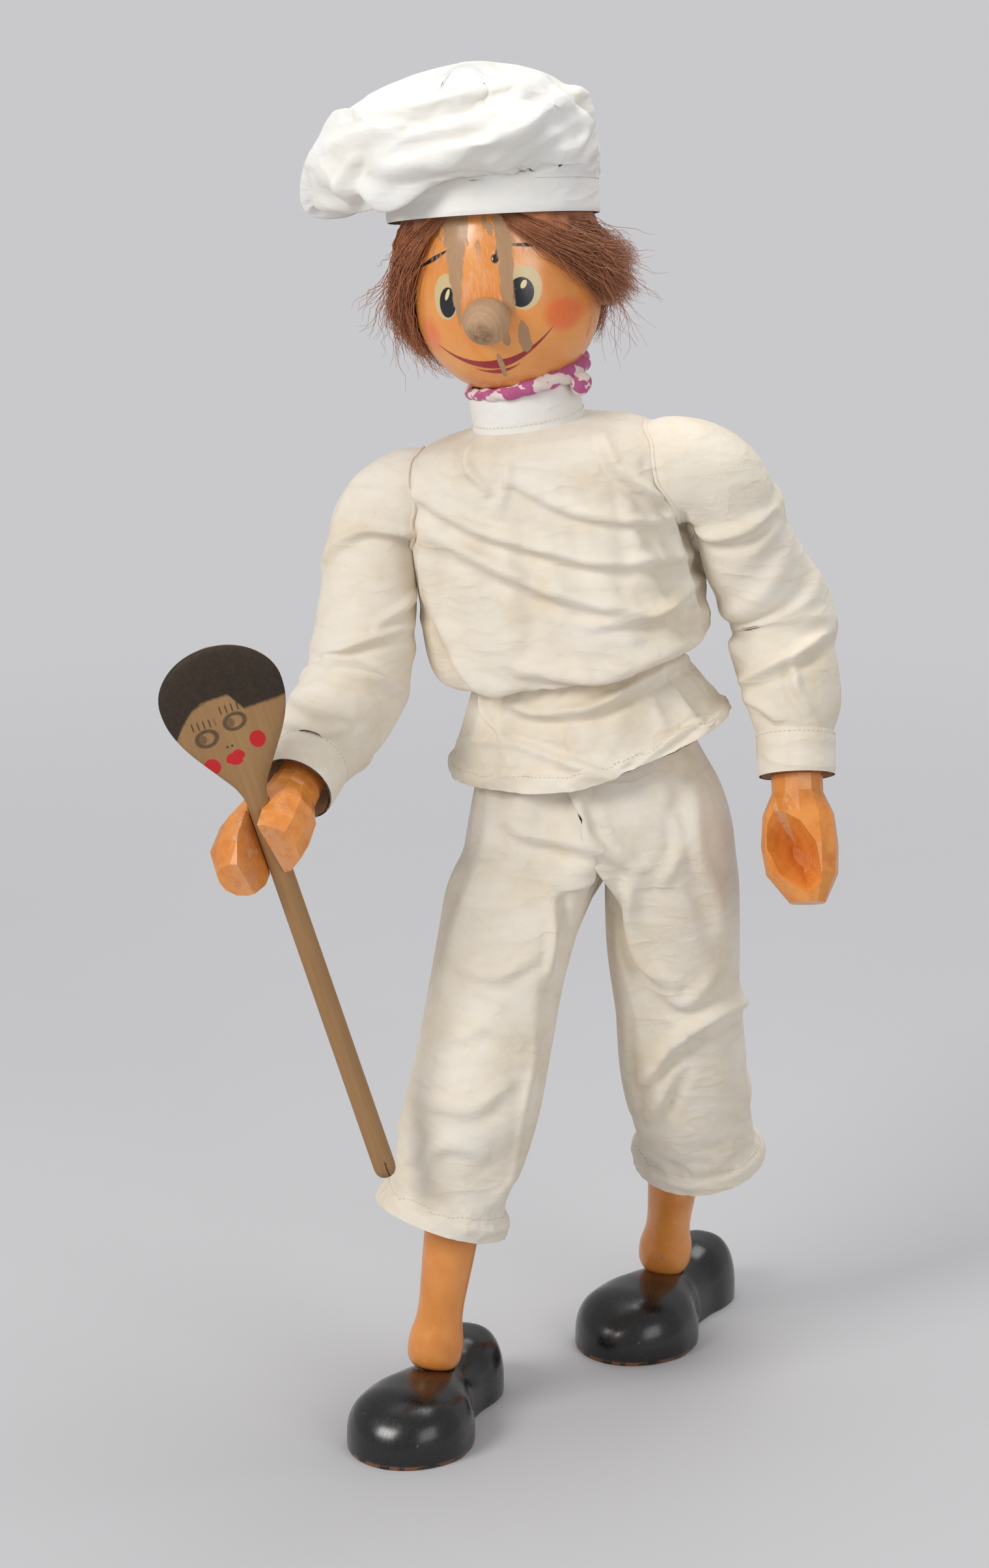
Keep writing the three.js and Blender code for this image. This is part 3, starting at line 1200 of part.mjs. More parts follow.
function legRings(name) {
  const { side, hemAside } = STANCE[name];
  const { leg } = limbs[name];
  const across = trunkX;
  const hem = SHIN_LENGTH - HEM_ABOVE_ANKLE;
  const upper = [[-26, 0.76, 0], [10, 1.04, 0], [50, 1.06, 0.015], [100, 1.01, 0.04], [155, 0.97, 0.05]];
  const rings = upper.map(([distance, width, folds]) => {
    const centre = leg.start.clone().addScaledVector(leg.upperWay, distance);
    const half = TROUSER_RADIUS * width;
    return tubeRing(centre, leg.upperWay, across, half, half, folds, distance / 22);
  });
  const lower = [[8, 0.98, 0.05], [52, 0.99, 0.045], [hem - 7, 1, 0.02], [hem, 1.01, 0.02]];
  for (const [distance, width, folds] of lower) {
    const aside = (side * hemAside * distance) / hem;
    const centre = leg.middle.clone().addScaledVector(leg.lowerWay, distance).addScaledVector(TRUNK_AXIS, aside);
    const along = distance > 10 ? leg.lowerWay : leg.upperWay.clone().add(leg.lowerWay).normalize();
    const half = TROUSER_RADIUS * width;
    const ring = tubeRing(centre, along, across, half, half, folds, (THIGH_LENGTH + distance) / 22);
    for (const point of ring) {
      const outward = (side * point.clone().sub(centre).dot(across)) / half;
      point.addScaledVector(leg.lowerWay, (-HEM_RISE * (1 + outward) * distance) / (2 * hem));
    }
    rings.push(ring);
  }
  return rings;
}

function trouserHalf(name) {
  const { side } = STANCE[name];
  const seat = SEAT_ROWS.map(([height, halfWidth, halfDepth]) => {
    return oval(0, 0, height, halfWidth, halfDepth, 20, 2.5);
  });
  const leg = legRings(name);
  const toward = side * (100 + FIT);
  const sideRoom = block(200, 300, 300, toward, 0, 0);
  const outer = join(common(loft(seat), sideRoom), loft(leg).applyMatrix4(toTrunk));
  const seatHollow = loft(carriedOn(drawnIn(seat, CLOTH), 3, 0)).translate(0, 0, 0.01);
  const legHollow = loft(carriedOn(drawnIn(leg, CLOTH), 0, 3)).applyMatrix4(toTrunk);
  const floorless = cut(seatHollow, block(300, 300, 20, 0, 0, SEAT_ROWS[SEAT_ROWS.length - 1][0] - 10 + CLOTH));
  return cut(outer, floorless, legHollow);
}

addPiece(trunk, 'jacket_body', jacketBody(), creamCloth);
addPiece(trunk, 'jacket_collar', collar(), whiteCloth);
addPiece(trunk, 'jacket_skirt', jacketSkirt(), creamCloth);
addPiece(
  trunk, 'waist_drawstring',
  ringCord(JACKET_WAIST_HEIGHT, WAIST_TIE_HALF_WIDTH, WAIST_TIE_HALF_DEPTH, WAIST_TIE_RADIUS), whiteCloth,
);
const jacketWithRoom = loft(drawnIn(jacketRings(), -FIT));
for (let i = 0; i < BUTTON_COUNT; i += 1) {
  const height = FIRST_BUTTON_HEIGHT + ((LAST_BUTTON_HEIGHT - FIRST_BUTTON_HEIGHT) * i) / (BUTTON_COUNT - 1);
  addPiece(trunk, `back_button_${i + 1}`, backButton(height, jacketWithRoom), buttonWhite);
}
for (const name of Object.keys(STANCE)) {
  addPiece(trunk, `sleeve_${name}`, sleeve(name), creamCloth);
  addPiece(trunk, `trousers_${name}`, trouserHalf(name), creamCloth);
  addPiece(forearms[name], `cuff_${name}`, cuff(), creamCloth);
}

// The doll stands on the floor with its bounding box centred on the origin

doll.updateMatrixWorld(true);
const extent = new THREE.Box3().setFromObject(doll);
const middle = extent.getCenter(new THREE.Vector3());
doll.position.set(-middle.x, -middle.y, -extent.min.z);

export default doll;
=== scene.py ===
import json
import math

import bmesh
import bpy
import numpy as np
from mathutils.bvhtree import BVHTree
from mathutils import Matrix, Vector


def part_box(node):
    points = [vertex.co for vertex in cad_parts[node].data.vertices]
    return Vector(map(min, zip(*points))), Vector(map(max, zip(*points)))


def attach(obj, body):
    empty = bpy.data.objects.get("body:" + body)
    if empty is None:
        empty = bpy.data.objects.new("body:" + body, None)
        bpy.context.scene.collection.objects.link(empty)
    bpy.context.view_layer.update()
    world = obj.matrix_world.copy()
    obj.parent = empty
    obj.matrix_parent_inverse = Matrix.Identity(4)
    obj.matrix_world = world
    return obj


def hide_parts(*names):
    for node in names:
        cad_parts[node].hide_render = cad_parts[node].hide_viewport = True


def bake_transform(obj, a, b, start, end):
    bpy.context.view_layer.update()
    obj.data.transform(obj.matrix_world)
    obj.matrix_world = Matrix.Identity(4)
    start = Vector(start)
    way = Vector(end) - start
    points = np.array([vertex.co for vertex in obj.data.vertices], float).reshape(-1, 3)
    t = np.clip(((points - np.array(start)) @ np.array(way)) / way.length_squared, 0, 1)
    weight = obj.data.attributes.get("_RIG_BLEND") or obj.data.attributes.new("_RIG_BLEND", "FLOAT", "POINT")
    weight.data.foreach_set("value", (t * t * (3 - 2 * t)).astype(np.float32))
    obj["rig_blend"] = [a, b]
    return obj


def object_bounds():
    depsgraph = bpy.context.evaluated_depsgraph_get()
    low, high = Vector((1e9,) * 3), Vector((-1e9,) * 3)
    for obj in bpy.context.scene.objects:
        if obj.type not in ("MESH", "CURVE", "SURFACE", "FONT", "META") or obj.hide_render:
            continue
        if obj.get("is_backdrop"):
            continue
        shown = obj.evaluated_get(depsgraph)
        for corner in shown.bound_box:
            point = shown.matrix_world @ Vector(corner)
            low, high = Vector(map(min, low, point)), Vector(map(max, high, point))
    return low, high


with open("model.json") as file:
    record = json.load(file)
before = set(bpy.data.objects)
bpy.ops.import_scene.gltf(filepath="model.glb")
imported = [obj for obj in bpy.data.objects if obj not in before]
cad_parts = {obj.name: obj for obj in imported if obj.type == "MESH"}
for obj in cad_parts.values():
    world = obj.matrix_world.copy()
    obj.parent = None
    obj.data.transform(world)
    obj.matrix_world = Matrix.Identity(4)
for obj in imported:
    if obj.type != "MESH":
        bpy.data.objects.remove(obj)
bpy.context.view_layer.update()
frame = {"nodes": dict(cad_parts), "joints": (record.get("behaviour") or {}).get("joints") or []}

# Studio: the doll stands on a wide sheet of pale grey paper under soft lamps.
# A long lens looks down on it a little from its own left.


class Wire:
    """An output of a shader node, which takes part in sums so that a finish reads as a formula."""

    def __init__(self, finish, socket):
        self.finish, self.socket = finish, socket

    def maths(self, operation, *values):
        return self.finish.node("Math", {"operation": operation}, dict(enumerate(values)))

    def __add__(self, other): return self.maths("ADD", self, other)
    def __radd__(self, other): return self.maths("ADD", other, self)
    def __sub__(self, other): return self.maths("SUBTRACT", self, other)
    def __rsub__(self, other): return self.maths("SUBTRACT", other, self)
    def __mul__(self, other): return self.maths("MULTIPLY", self, other)
    def __rmul__(self, other): return self.maths("MULTIPLY", other, self)
    def __truediv__(self, other): return self.maths("DIVIDE", self, other)
    def __pow__(self, other): return self.maths("POWER", self, other)
    def __abs__(self): return self.maths("ABSOLUTE", self)
    def wave(self): return self.maths("SINE", self)
    def least(self, other): return self.maths("MINIMUM", self, other)
    def most(self, other): return self.maths("MAXIMUM", self, other)

    def rise(self, low, high):
        """0 below low, 1 above high and smooth between; falls instead where low is the greater."""
        return self.finish.node(
            "MapRange", {"interpolation_type": "SMOOTHSTEP"},
            {"Value": self, "From Min": low, "From Max": high})


class Finish:
    """A material for one finish of the doll, built node by node."""

    def __init__(self, name, **shader):
        self.made = bpy.data.materials.new(name)
        self.made.use_nodes = True
        self.tree = self.made.node_tree
        self.shader = self.tree.nodes["Principled BSDF"]
        self.set(**shader)

    def feed(self, socket, value):
        if isinstance(value, Wire):
            self.tree.links.new(value.socket, socket)
        elif hasattr(value, "__len__") and len(value) == 3 and socket.type == "RGBA":
            socket.default_value = (*value, 1.0)
        else:
            socket.default_value = value

    def set(self, **shader):
        for name, value in shader.items():
            self.feed(self.shader.inputs[name.replace("_", " ")], value)
        return self

    def node(self, kind, settings=None, sockets=None, out=0):
        made = self.tree.nodes.new("ShaderNode" + kind)
        for name, value in (settings or {}).items():
            setattr(made, name, value)
        for name, value in (sockets or {}).items():
            self.feed(made.inputs[name], value)
        return Wire(self, made.outputs[out])

    def mix(self, share, first, second):
        """The first colour where share is 0 and the second where it is 1."""
        return self.node("Mix", {"data_type": "RGBA"}, {0: share, 6: first, 7: second}, out=2)

    def spot(self, name=None):
        """Where on the doll a point is, in millimetres: in the piece's own axes if it carries them."""
        if name:
            return self.node("Attribute", {"attribute_name": name}, out=1)
        return self.node("VectorMath", {"operation": "SCALE"}, {0: self.node("TexCoord", out=3), 3: 1000.0})

    def parts(self, vector):
        split = self.tree.nodes.new("ShaderNodeSeparateXYZ")
        self.feed(split.inputs[0], vector)
        return [Wire(self, out) for out in split.outputs]

    def noise(self, vector, size, detail=3.0, rough=0.5, stretch=(1, 1, 1), seed=0.0):
        """Cloudy noise from 0 to 1 whose lumps are about size millimetres across."""
        scaled = self.node("Mapping", {"vector_type": "POINT"}, {
            0: vector, 1: (seed, seed * 1.7, seed * 2.3), 3: tuple(s / size for s in stretch)})
        return self.node("TexNoise", {},
                         {"Vector": scaled, "Scale": 1.0, "Detail": detail, "Roughness": rough})

    def bump(self, height, depth, strength=1.0):
        """Relief of that depth in millimetres where height is 1."""
        relief = {"Strength": strength, "Distance": depth / 1000.0, "Height": height}
        return self.set(Normal=self.node("Bump", {}, relief))


def placed(name, data):
    """A new object in the scene."""
    made = bpy.data.objects.new(name, data)
    bpy.context.scene.collection.objects.link(made)
    return made


PAPER_REACH = 14.0


def sheet_of_paper():
    mesh = bpy.data.meshes.new("paper")
    corners = [(x * PAPER_REACH, y * PAPER_REACH, 0.0) for x, y in ((-1, -1), (1, -1), (1, 1), (-1, 1))]
    mesh.from_pydata(corners, [], [(0, 1, 2, 3)])
    paper = placed("paper_sheet", mesh)
    finish = Finish("grey_paper", Roughness=0.9)
    place = finish.spot()
    cloud = finish.noise(place, 420.0, 4.0)
    finish.set(Base_Color=finish.mix(cloud, (0.525, 0.522, 0.535), (0.56, 0.557, 0.57)))
    away = finish.node("VectorMath", {"operation": "LENGTH"}, {0: place}, out=1)
    far = finish.node("Emission", {}, {"Color": (0.585, 0.582, 0.602)})
    seen_far = finish.node("LightPath") * away.rise(700.0, 2100.0)
    joined = finish.node("MixShader", {}, {0: seen_far, 1: Wire(finish, finish.shader.outputs[0]), 2: far})
    finish.feed(finish.tree.nodes["Material Output"].inputs["Surface"], joined)
    mesh.materials.append(finish.made)
    paper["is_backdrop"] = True


def lamp(name, place, towards, size, watts, colour=(1.0, 1.0, 1.0)):
    light = bpy.data.lights.new(name, "AREA")
    light.shape, light.size, light.energy, light.color = "SQUARE", size, watts, colour
    made = placed(name, light)
    made.location = place
    way = Vector(towards) - Vector(place)
    made.rotation_euler = way.to_track_quat("-Z", "Y").to_euler()


sheet_of_paper()
lamp("key_lamp", (-1.9, -2.6, 2.5), (0, 0, 0.5), 1.4, 76.0, (1.0, 0.985, 0.965))
lamp("fill_lamp", (2.6, -2.2, 1.7), (0, 0, 0.5), 1.8, 24.0, (0.98, 0.99, 1.0))
lamp("top_lamp", (0.3, 0.9, 3.0), (0, 0, 0.4), 1.6, 26.0)
lamp("backdrop_lamp", (0.0, 0.6, 3.4), (0, 2.2, 1.6), 2.4, 22.0)
world = bpy.data.worlds.new("studio_air")
world.use_nodes = True
world.node_tree.nodes["Background"].inputs[0].default_value = (0.98, 0.985, 1.0, 1.0)
world.node_tree.nodes["Background"].inputs[1].default_value = 0.42
bpy.context.scene.world = world
bpy.context.scene.view_settings.view_transform = "Standard"

VIEW_WIDE, VIEW_TALL = 1519, 2408
aim = Vector((-0.0012, -0.1069, 0.480))
turn, rise, distance = math.radians(14), math.radians(17), 3.65
camera_back = Vector((
    math.sin(turn) * math.cos(rise), -math.cos(turn) * math.cos(rise), math.sin(rise)))
camera = placed("camera", bpy.data.cameras.new("camera"))
camera.data.lens, camera.data.sensor_width = 123.1, 36.0
camera.location = aim + camera_back * distance
camera.rotation_euler = (-camera_back).to_track_quat("-Z", "Y").to_euler()
bpy.context.scene.camera = camera

# Frame of the doll: turned and sawn blocks, dowels, balls and pins of pale wood and steel wire, which the
# clothes hide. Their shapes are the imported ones, and each limb's axes are read off its joints.

joints = {joint["name"]: joint for joint in frame["joints"]}


def unit(way):
    way = np.array(way, float)
    return way / np.linalg.norm(way)


class Stand:
    """The axes of one limb or block: across, back and up from an origin. Its own sizes are millimetres."""

    def __init__(self, origin, up, across=None, back=None):
        self.origin, self.up = np.array(origin, float), unit(up)
        if across is None:
            back = unit(np.array(back) - (np.array(back) @ self.up) * self.up)
            across = np.cross(back, self.up)
        self.across = unit(np.array(across) - (np.array(across) @ self.up) * self.up)
        self.back = np.cross(self.up, self.across)
        self.axes = np.array([self.across, self.back, self.up])

    def out(self, points):
        """Points of this limb as places on the doll, in metres."""
        return self.origin + np.asarray(points, float) / 1000.0 @ self.axes

    def into(self, places):
        return (np.asarray(places, float) - self.origin) @ self.axes.T * 1000.0


def point(joint): return np.array(joints[joint]["pos_m"], float)
def axis(joint): return unit(joints[joint]["axis"])


OUTWARD = {"right": -1, "left": 1}
hip = {side: point("hip_swing_" + side) for side in OUTWARD}
trunk = Stand((hip["right"] + hip["left"]) / 2, axis("neck_turn"), across=hip["left"] - hip["right"])
head = Stand(point("head_nod"), axis("neck_turn"), across=axis("head_nod"))


def plain_wood(name, pale, dark):
    finish = Finish(name, Roughness=0.62)
    place = finish.spot()
    grain = finish.noise(place, 3.0, 4.0, 0.6, stretch=(1, 1, 0.06))
    rings = (finish.noise(place, 16.0, 2.0, 0.5, stretch=(1, 1, 0.1)) * 40.0).wave() * 0.5 + 0.5
    finish.set(Base_Color=finish.mix(grain * 0.7 + rings * 0.3, pale, dark),
               Roughness=grain.rise(0.2, 0.9) * 0.2 + 0.5)
    return finish.bump(grain, 0.15)


def painted_wood():
    """Glossy orange paint over pale wood, with fine scratches, dark nicks and chips down to the wood."""
    finish = Finish("orange_paint", IOR=1.5, Coat_Weight=0.25, Coat_Roughness=0.18)
    place = finish.spot()
    cloud = finish.noise(place, 38.0, 4.0, 0.6)
    body = finish.mix(cloud.rise(0.3, 0.75), (0.80, 0.31, 0.07), (0.66, 0.22, 0.035))
    faded = finish.noise(place, 22.0, 5.0, 0.7, seed=4.0).rise(0.55, 0.75)
    body = finish.mix(faded * 0.45, body, (0.86, 0.47, 0.22))
    streaks = finish.noise(place, 5.0, 4.0, 0.7, stretch=(1, 1, 0.16), seed=7.0)
    chips = finish.noise(place, 6.5, 6.0, 0.72, seed=2.0).rise(0.665, 0.69)
    edge = finish.noise(place, 6.5, 6.0, 0.72, seed=2.0).rise(0.645, 0.665)
    nicks = finish.noise(place, 3.2, 3.0, 0.6, stretch=(1, 1, 0.5), seed=9.0).rise(0.735, 0.76)
    wood = finish.mix(streaks, (0.55, 0.33, 0.17), (0.36, 0.2, 0.1))
    worn = finish.mix(chips, finish.mix(edge * 0.6, body, (0.9, 0.52, 0.25)), wood)
    finish.set(
        Base_Color=finish.mix(nicks * 0.85, worn, (0.06, 0.03, 0.02)),
        Roughness=chips * 0.3 + streaks * 0.16 + 0.26)
    return finish.bump(streaks * 0.18 - chips * 0.8, 0.25)


def steel_wire():
    finish = Finish("steel", Metallic=1.0)
    scratches = finish.noise(finish.spot(), 0.8, 3.0, 0.6, stretch=(0.2, 1, 1))
    finish.set(
        Base_Color=finish.mix(scratches, (0.42, 0.41, 0.4), (0.62, 0.61, 0.6)),
        Roughness=scratches * 0.25 + 0.25)
    return finish.bump(scratches, 0.05)


inner_wood = plain_wood("inner_wood", (0.60, 0.41, 0.22), (0.46, 0.28, 0.13))
bare_wood = plain_wood("bare_wood", (0.46, 0.28, 0.14), (0.31, 0.17, 0.07))
orange = painted_wood()
steel = steel_wire()
for node, piece in frame["nodes"].items():
    kind = node.removesuffix("_right").removesuffix("_left")
    wear = {"hip_block": inner_wood, "chest_block": inner_wood, "upper_arm": orange, "forearm": orange,
            "thigh": orange}.get(kind, steel if "pin" in kind or "tang" in kind else bare_wood)
    piece.data.materials.clear()
    piece.data.materials.append(wear.made)


# Shins: turned rods of orange painted wood, drawn in above a round ankle knob that is cut flat
# where it stands on the shoe.

def flowing(keys, count):
    """Rows read off a smooth curve through the given rows, evenly spaced along it."""
    keys = np.array(keys, float)
    flat = keys.reshape(len(keys), -1)
    steps = np.linalg.norm(np.diff(flat, axis=0), axis=1)
    at = np.concatenate([[0.0], np.cumsum(np.maximum(steps, 1e-6))])
    rates = np.diff(flat, axis=0) / np.diff(at)[:, None]
    slope = np.gradient(flat, at, axis=0)
    tamest = 3 * np.minimum(np.abs(rates[1:]), np.abs(rates[:-1])) * (rates[1:] * rates[:-1] > 0)
    slope[1:-1] = np.clip(slope[1:-1], -tamest, tamest)
    want = np.linspace(0.0, at[-1], count)
    i = np.clip(np.searchsorted(at, want, side="right") - 1, 0, len(at) - 2)
    long = (at[i + 1] - at[i])[:, None]
    t = (want - at[i])[:, None] / long
    made = ((2 * t**3 - 3 * t**2 + 1) * flat[i] + (t**3 - 2 * t**2 + t) * slope[i] * long
            + (3 * t**2 - 2 * t**3) * flat[i + 1] + (t**3 - t**2) * slope[i + 1] * long)
    return made.reshape((count,) + keys.shape[1:])


def skinned(name, rings, finish, ends=(False, False), round_way=True):
    """A mesh skinned over rings of points, in metres; ends says which end is closed by a fan."""
    rings = np.array(rings, float)
    rows, columns = rings.shape[:2]
    places = [tuple(p) for p in rings.reshape(-1, 3)]
    faces, around = [], columns if round_way else columns - 1
    for r in range(rows - 1):
        for c in range(around):
            d = (c + 1) % columns
            faces.append((r * columns + c, r * columns + d, (r + 1) * columns + d, (r + 1) * columns + c))
    for row, wanted in ((0, ends[0]), (rows - 1, ends[1])):
        if wanted:
            places.append(tuple(rings[row].mean(0)))
            for c in range(columns):
                pair = (row * columns + c, row * columns + (c + 1) % columns)
                faces.append((len(places) - 1, *(pair[::-1] if row == 0 else pair)))
    mesh = bpy.data.meshes.new(name)
    mesh.from_pydata(places, [], faces)
    sheet = mesh.uv_layers.new(name="cloth")
    wide = np.linalg.norm(np.diff(rings, axis=1, append=rings[:, :1]), axis=2).sum(1).mean()
    tall = np.concatenate([[0.0], np.cumsum(np.linalg.norm(np.diff(rings, axis=0), axis=2).mean(1))])
    for face in mesh.polygons[:(rows - 1) * around]:
        for loop, (dr, dc) in zip(face.loop_indices, ((0, 0), (0, 1), (1, 1), (1, 0))):
            r, c = divmod(face.index, around)
            sheet.data[loop].uv = (wide * (c + dc) / columns, tall[r + dr])
    mesh.update()
    centre = rings.mean(1)
    out = sum(
        float(np.dot(face.normal, np.array(face.center) - centre[min(face.index // around, rows - 1)]))
        for face in mesh.polygons[:(rows - 1) * around])
    if out < 0:
        mesh.flip_normals()
    mesh.shade_smooth()
    mesh.materials.append(finish.made)
    return placed(name, mesh)


def points_of(mesh, what="co"):
    held = np.zeros(len(mesh.vertices) * 3)
    mesh.vertices.foreach_get(what, held)
    return held.reshape(-1, 3)


def carry_place(piece, stand):
    """Keeps each point's place in the limb's own axes on the mesh, for the finish to read."""
    layers = piece.data.attributes
    held = layers.get("place") or layers.new("place", "FLOAT_VECTOR", "POINT")
    held.data.foreach_set("vector", stand.into(points_of(piece.data)).astype(np.float32).ravel())
    return piece


def oval(x, y, z, half_x, half_y, columns, squareness=2.0):
    """A ring round an oval in the plane of a stand, from its back; a higher squareness is flatter."""
    angle = math.pi * 0.5 + 2 * math.pi * np.arange(columns) / columns
    cos, sin = np.cos(angle), np.sin(angle)
    reach = (np.abs(cos)**squareness + np.abs(sin)**squareness) ** (-1 / squareness)
    return np.stack([x + half_x * reach * cos, y + half_y * reach * sin, np.full(columns, float(z))], 1)


def turned(name, stand, profile, finish):
    """A piece turned on a lathe: radius and height pairs, smooth between them, closed at both ends."""
    line = flowing([(r, 0, z) for r, z in profile], 70)
    rings = [stand.out(oval(0, 0, z, max(r, 0.05), max(r, 0.05), 56)) for r, _, z in line]
    return carry_place(skinned(name, rings, finish, ends=(True, True)), stand)


def applied(piece):
    """The piece with its modifiers worked into its mesh."""
    shape = bpy.data.meshes.new_from_object(piece.evaluated_get(bpy.context.evaluated_depsgraph_get()))
    piece.modifiers.clear()
    piece.data = shape
    return piece


def cut_away(piece, cutter):
    """Takes the cutter's shape out of the piece."""
    knife = piece.modifiers.new("cut", "BOOLEAN")
    knife.operation, knife.solver, knife.object = "DIFFERENCE", "EXACT", cutter
    bpy.context.view_layer.update()
    applied(piece)
    bpy.data.objects.remove(cutter)
    return piece


SHIN_LENGTH, SHIN_RADIUS, ANKLE_RADIUS = 195, 19.5, 19.5
foot_stand = {}
for side in ("right", "left"):
    knee, ankle = point("knee_" + side), point("ankle_" + side)
    foot_stand[side] = Stand(ankle, (0, 0, 1), across=axis("ankle_" + side))
    shin_stand = Stand(knee, knee - ankle, back=(0, 1, 0))
    end = -SHIN_LENGTH
    rod = [(0, -18), (9, -18.5), (14, -21), (SHIN_RADIUS, -36), (SHIN_RADIUS, -100), (18.4, -128),
           (16.9, -150), (16.1, -164), (16.2, -172)]
    knob = [(17.2, end + 15), (18.8, end + 8), (ANKLE_RADIUS, end), (19.2, end - 7), (17.6, end - 12),
            (15.6, end - 14.6), (8, end - 15.4), (0, end - 15.6)]
    shin = turned("shin_of_" + side, shin_stand, rod + knob, orange)
    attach(shin, "shin_" + side)
    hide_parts("shin_" + side)

# Shoes: each carved from one block, with a round toe, a narrow waist and a heel lobe, painted glossy
# black. The paint is worn brown on the instep and chipped along the sole's front edge.

SHOE_LENGTH, SHOE_WIDTH, SHOE_HEIGHT, HEEL_WIDTH = 178, 88, 44, 60
ANKLE_HEIGHT, HEEL_BEHIND_ANKLE = 57, 83


def black_lacquer():
    finish = Finish("black_paint", IOR=1.5, Coat_Weight=0.35, Coat_Roughness=0.2)
    place = finish.spot("place")
    x, y, z = finish.parts(place)
    scuffs = finish.noise(place, 7.0, 6.0, 0.7, stretch=(1, 0.35, 1))
    fine = finish.noise(place, 1.4, 4.0, 0.65, stretch=(1, 0.16, 0.6), seed=3.0)
    instep = ((x / 21.0) ** 2.0 + ((y + 14.0) / 22.0) ** 2.0).rise(1.25, 0.3) * scuffs.rise(0.25, 0.55)
    chipped = finish.noise(place, 9.0, 5.0, 0.7, seed=5.0).rise(0.68, 0.70)
    toe_side = chipped * y.rise(-20.0, -40.0) * z.rise(-16.0, -34.0)
    sole_edge = z.rise(-53.2, -55.2) * scuffs.rise(0.45, 0.52) * y.rise(-10.0, -30.0)
    nicks = finish.noise(place, 3.0, 3.0, 0.6, seed=8.0).rise(0.74, 0.77)
    bare = toe_side.most(sole_edge).most(nicks * z.rise(-22.0, -40.0))
    black = finish.mix(fine.rise(0.45, 0.8) * 0.5, (0.006, 0.005, 0.005), (0.022, 0.018, 0.016))
    warm = finish.mix(instep * 0.8, black, (0.085, 0.022, 0.008))
    finish.set(
        Base_Color=finish.mix(bare, warm, (0.2, 0.08, 0.035)),
        Roughness=fine.rise(0.4, 0.8) * 0.16 + bare * 0.3 + 0.24)
    return finish.bump(scuffs * 0.25 + fine * 0.1 - bare * 0.6, 0.35)


def shoe_slice(y, half, tall):
    """Half-way round the shoe at one place along it: a sharp sole edge and a rounded top."""
    floor = -ANKLE_HEIGHT
    angle = np.linspace(0, math.pi, 33)
    dome = np.stack([
        half * np.sign(np.cos(angle)) * np.abs(np.cos(angle))**0.78, np.full(33, y),
        floor + tall * (0.17 + 0.83 * np.sin(angle)**0.82)], 1)
    right = np.array([
        [0.955 * half, y, floor], [0.985 * half, y, floor + 0.6], [half, y, floor + 0.08 * tall]])
    sole = np.stack([np.linspace(-0.9, 0.9, 9) * half, np.full(9, y), np.full(9, floor)], 1)
    return np.concatenate([right, dome, (right * (-1, 1, 1))[::-1], sole])


lacquer = black_lacquer()
for side in ("right", "left"):
    toe, heel_share = HEEL_BEHIND_ANKLE - SHOE_LENGTH, HEEL_WIDTH / SHOE_WIDTH
    slices = [(0.0, 0.02, 0.2), (0.006, 0.2, 0.34), (0.03, 0.46, 0.56), (0.07, 0.67, 0.74),
              (0.13, 0.86, 0.9), (0.24, 1, 1), (0.36, 0.96, 1.0), (0.46, 0.78, 0.98), (0.57, 0.6, 0.95),
              (0.67, heel_share * 0.9, 0.98), (0.78, heel_share, 1.1), (0.88, heel_share * 0.93, 1.1),
              (0.95, heel_share * 0.7, 0.95), (0.985, heel_share * 0.4, 0.62),
              (1.0, heel_share * 0.06, 0.25)]
    rings = flowing([
        shoe_slice(toe + share * SHOE_LENGTH, wide * SHOE_WIDTH / 2, tall * SHOE_HEIGHT)
        for share, wide, tall in slices], 56)
    rings = [foot_stand[side].out(ring) for ring in rings]
    shoe = skinned("shoe_of_" + side, rings, lacquer, ends=(True, True))
    hollow = [foot_stand[side].out(oval(0, 0, z, r, r, 40)) for z, r in
              [(22 * math.sin(a), 22 * math.cos(a)) for a in np.radians(np.linspace(-89, 20, 14))]]
    cut_away(shoe, skinned("ankle_room", hollow, lacquer, ends=(True, True)))
    carry_place(shoe, foot_stand[side])
    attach(shoe, "foot_" + side)
    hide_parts("shoe_" + side)

# Hands: carved with a knife from orange painted wood, so each is all flat facets with worn edges. The
# right one is a fist bored for the spoon, the left a mitten with a hollow palm.

hand_stand = {
    "right": Stand(point("wrist_right"), axis("wrist_right"), back=axis("spoon_slide")),
    "left": Stand(point("wrist_left"), axis("wrist_left"), back=(-math.sin(turn), math.cos(turn), 0)),
}


def carved_paint():
    finish = Finish("carved_paint", IOR=1.5, Coat_Weight=0.2, Coat_Roughness=0.25)
    place = finish.spot("place")
    blotch = finish.noise(place, 13.0, 5.0, 0.65)
    body = finish.mix(blotch.rise(0.35, 0.7), (0.80, 0.30, 0.06), (0.66, 0.20, 0.03))
    rubbed = finish.noise(place, 17.0, 5.0, 0.7, seed=3.0).rise(0.6, 0.66)
    grain = finish.noise(place, 1.6, 4.0, 0.6, stretch=(1, 1, 0.12), seed=6.0)
    wood = finish.mix(grain, (0.80, 0.46, 0.25), (0.58, 0.28, 0.13))
    edge = finish.node("NewGeometry", out=7).rise(0.525, 0.57)
    chips = finish.noise(place, 4.0, 5.0, 0.7, seed=8.0).rise(0.66, 0.69)
    bare = (rubbed * 0.85).most(edge * finish.noise(place, 5.0, 3.0, 0.6).rise(0.35, 0.5)).most(chips)
    finish.set(Base_Color=finish.mix(bare, body, wood), Roughness=bare * 0.25 + blotch * 0.1 + 0.24)
    return finish.bump(grain * bare * 0.4 + blotch * 0.3, 0.3)


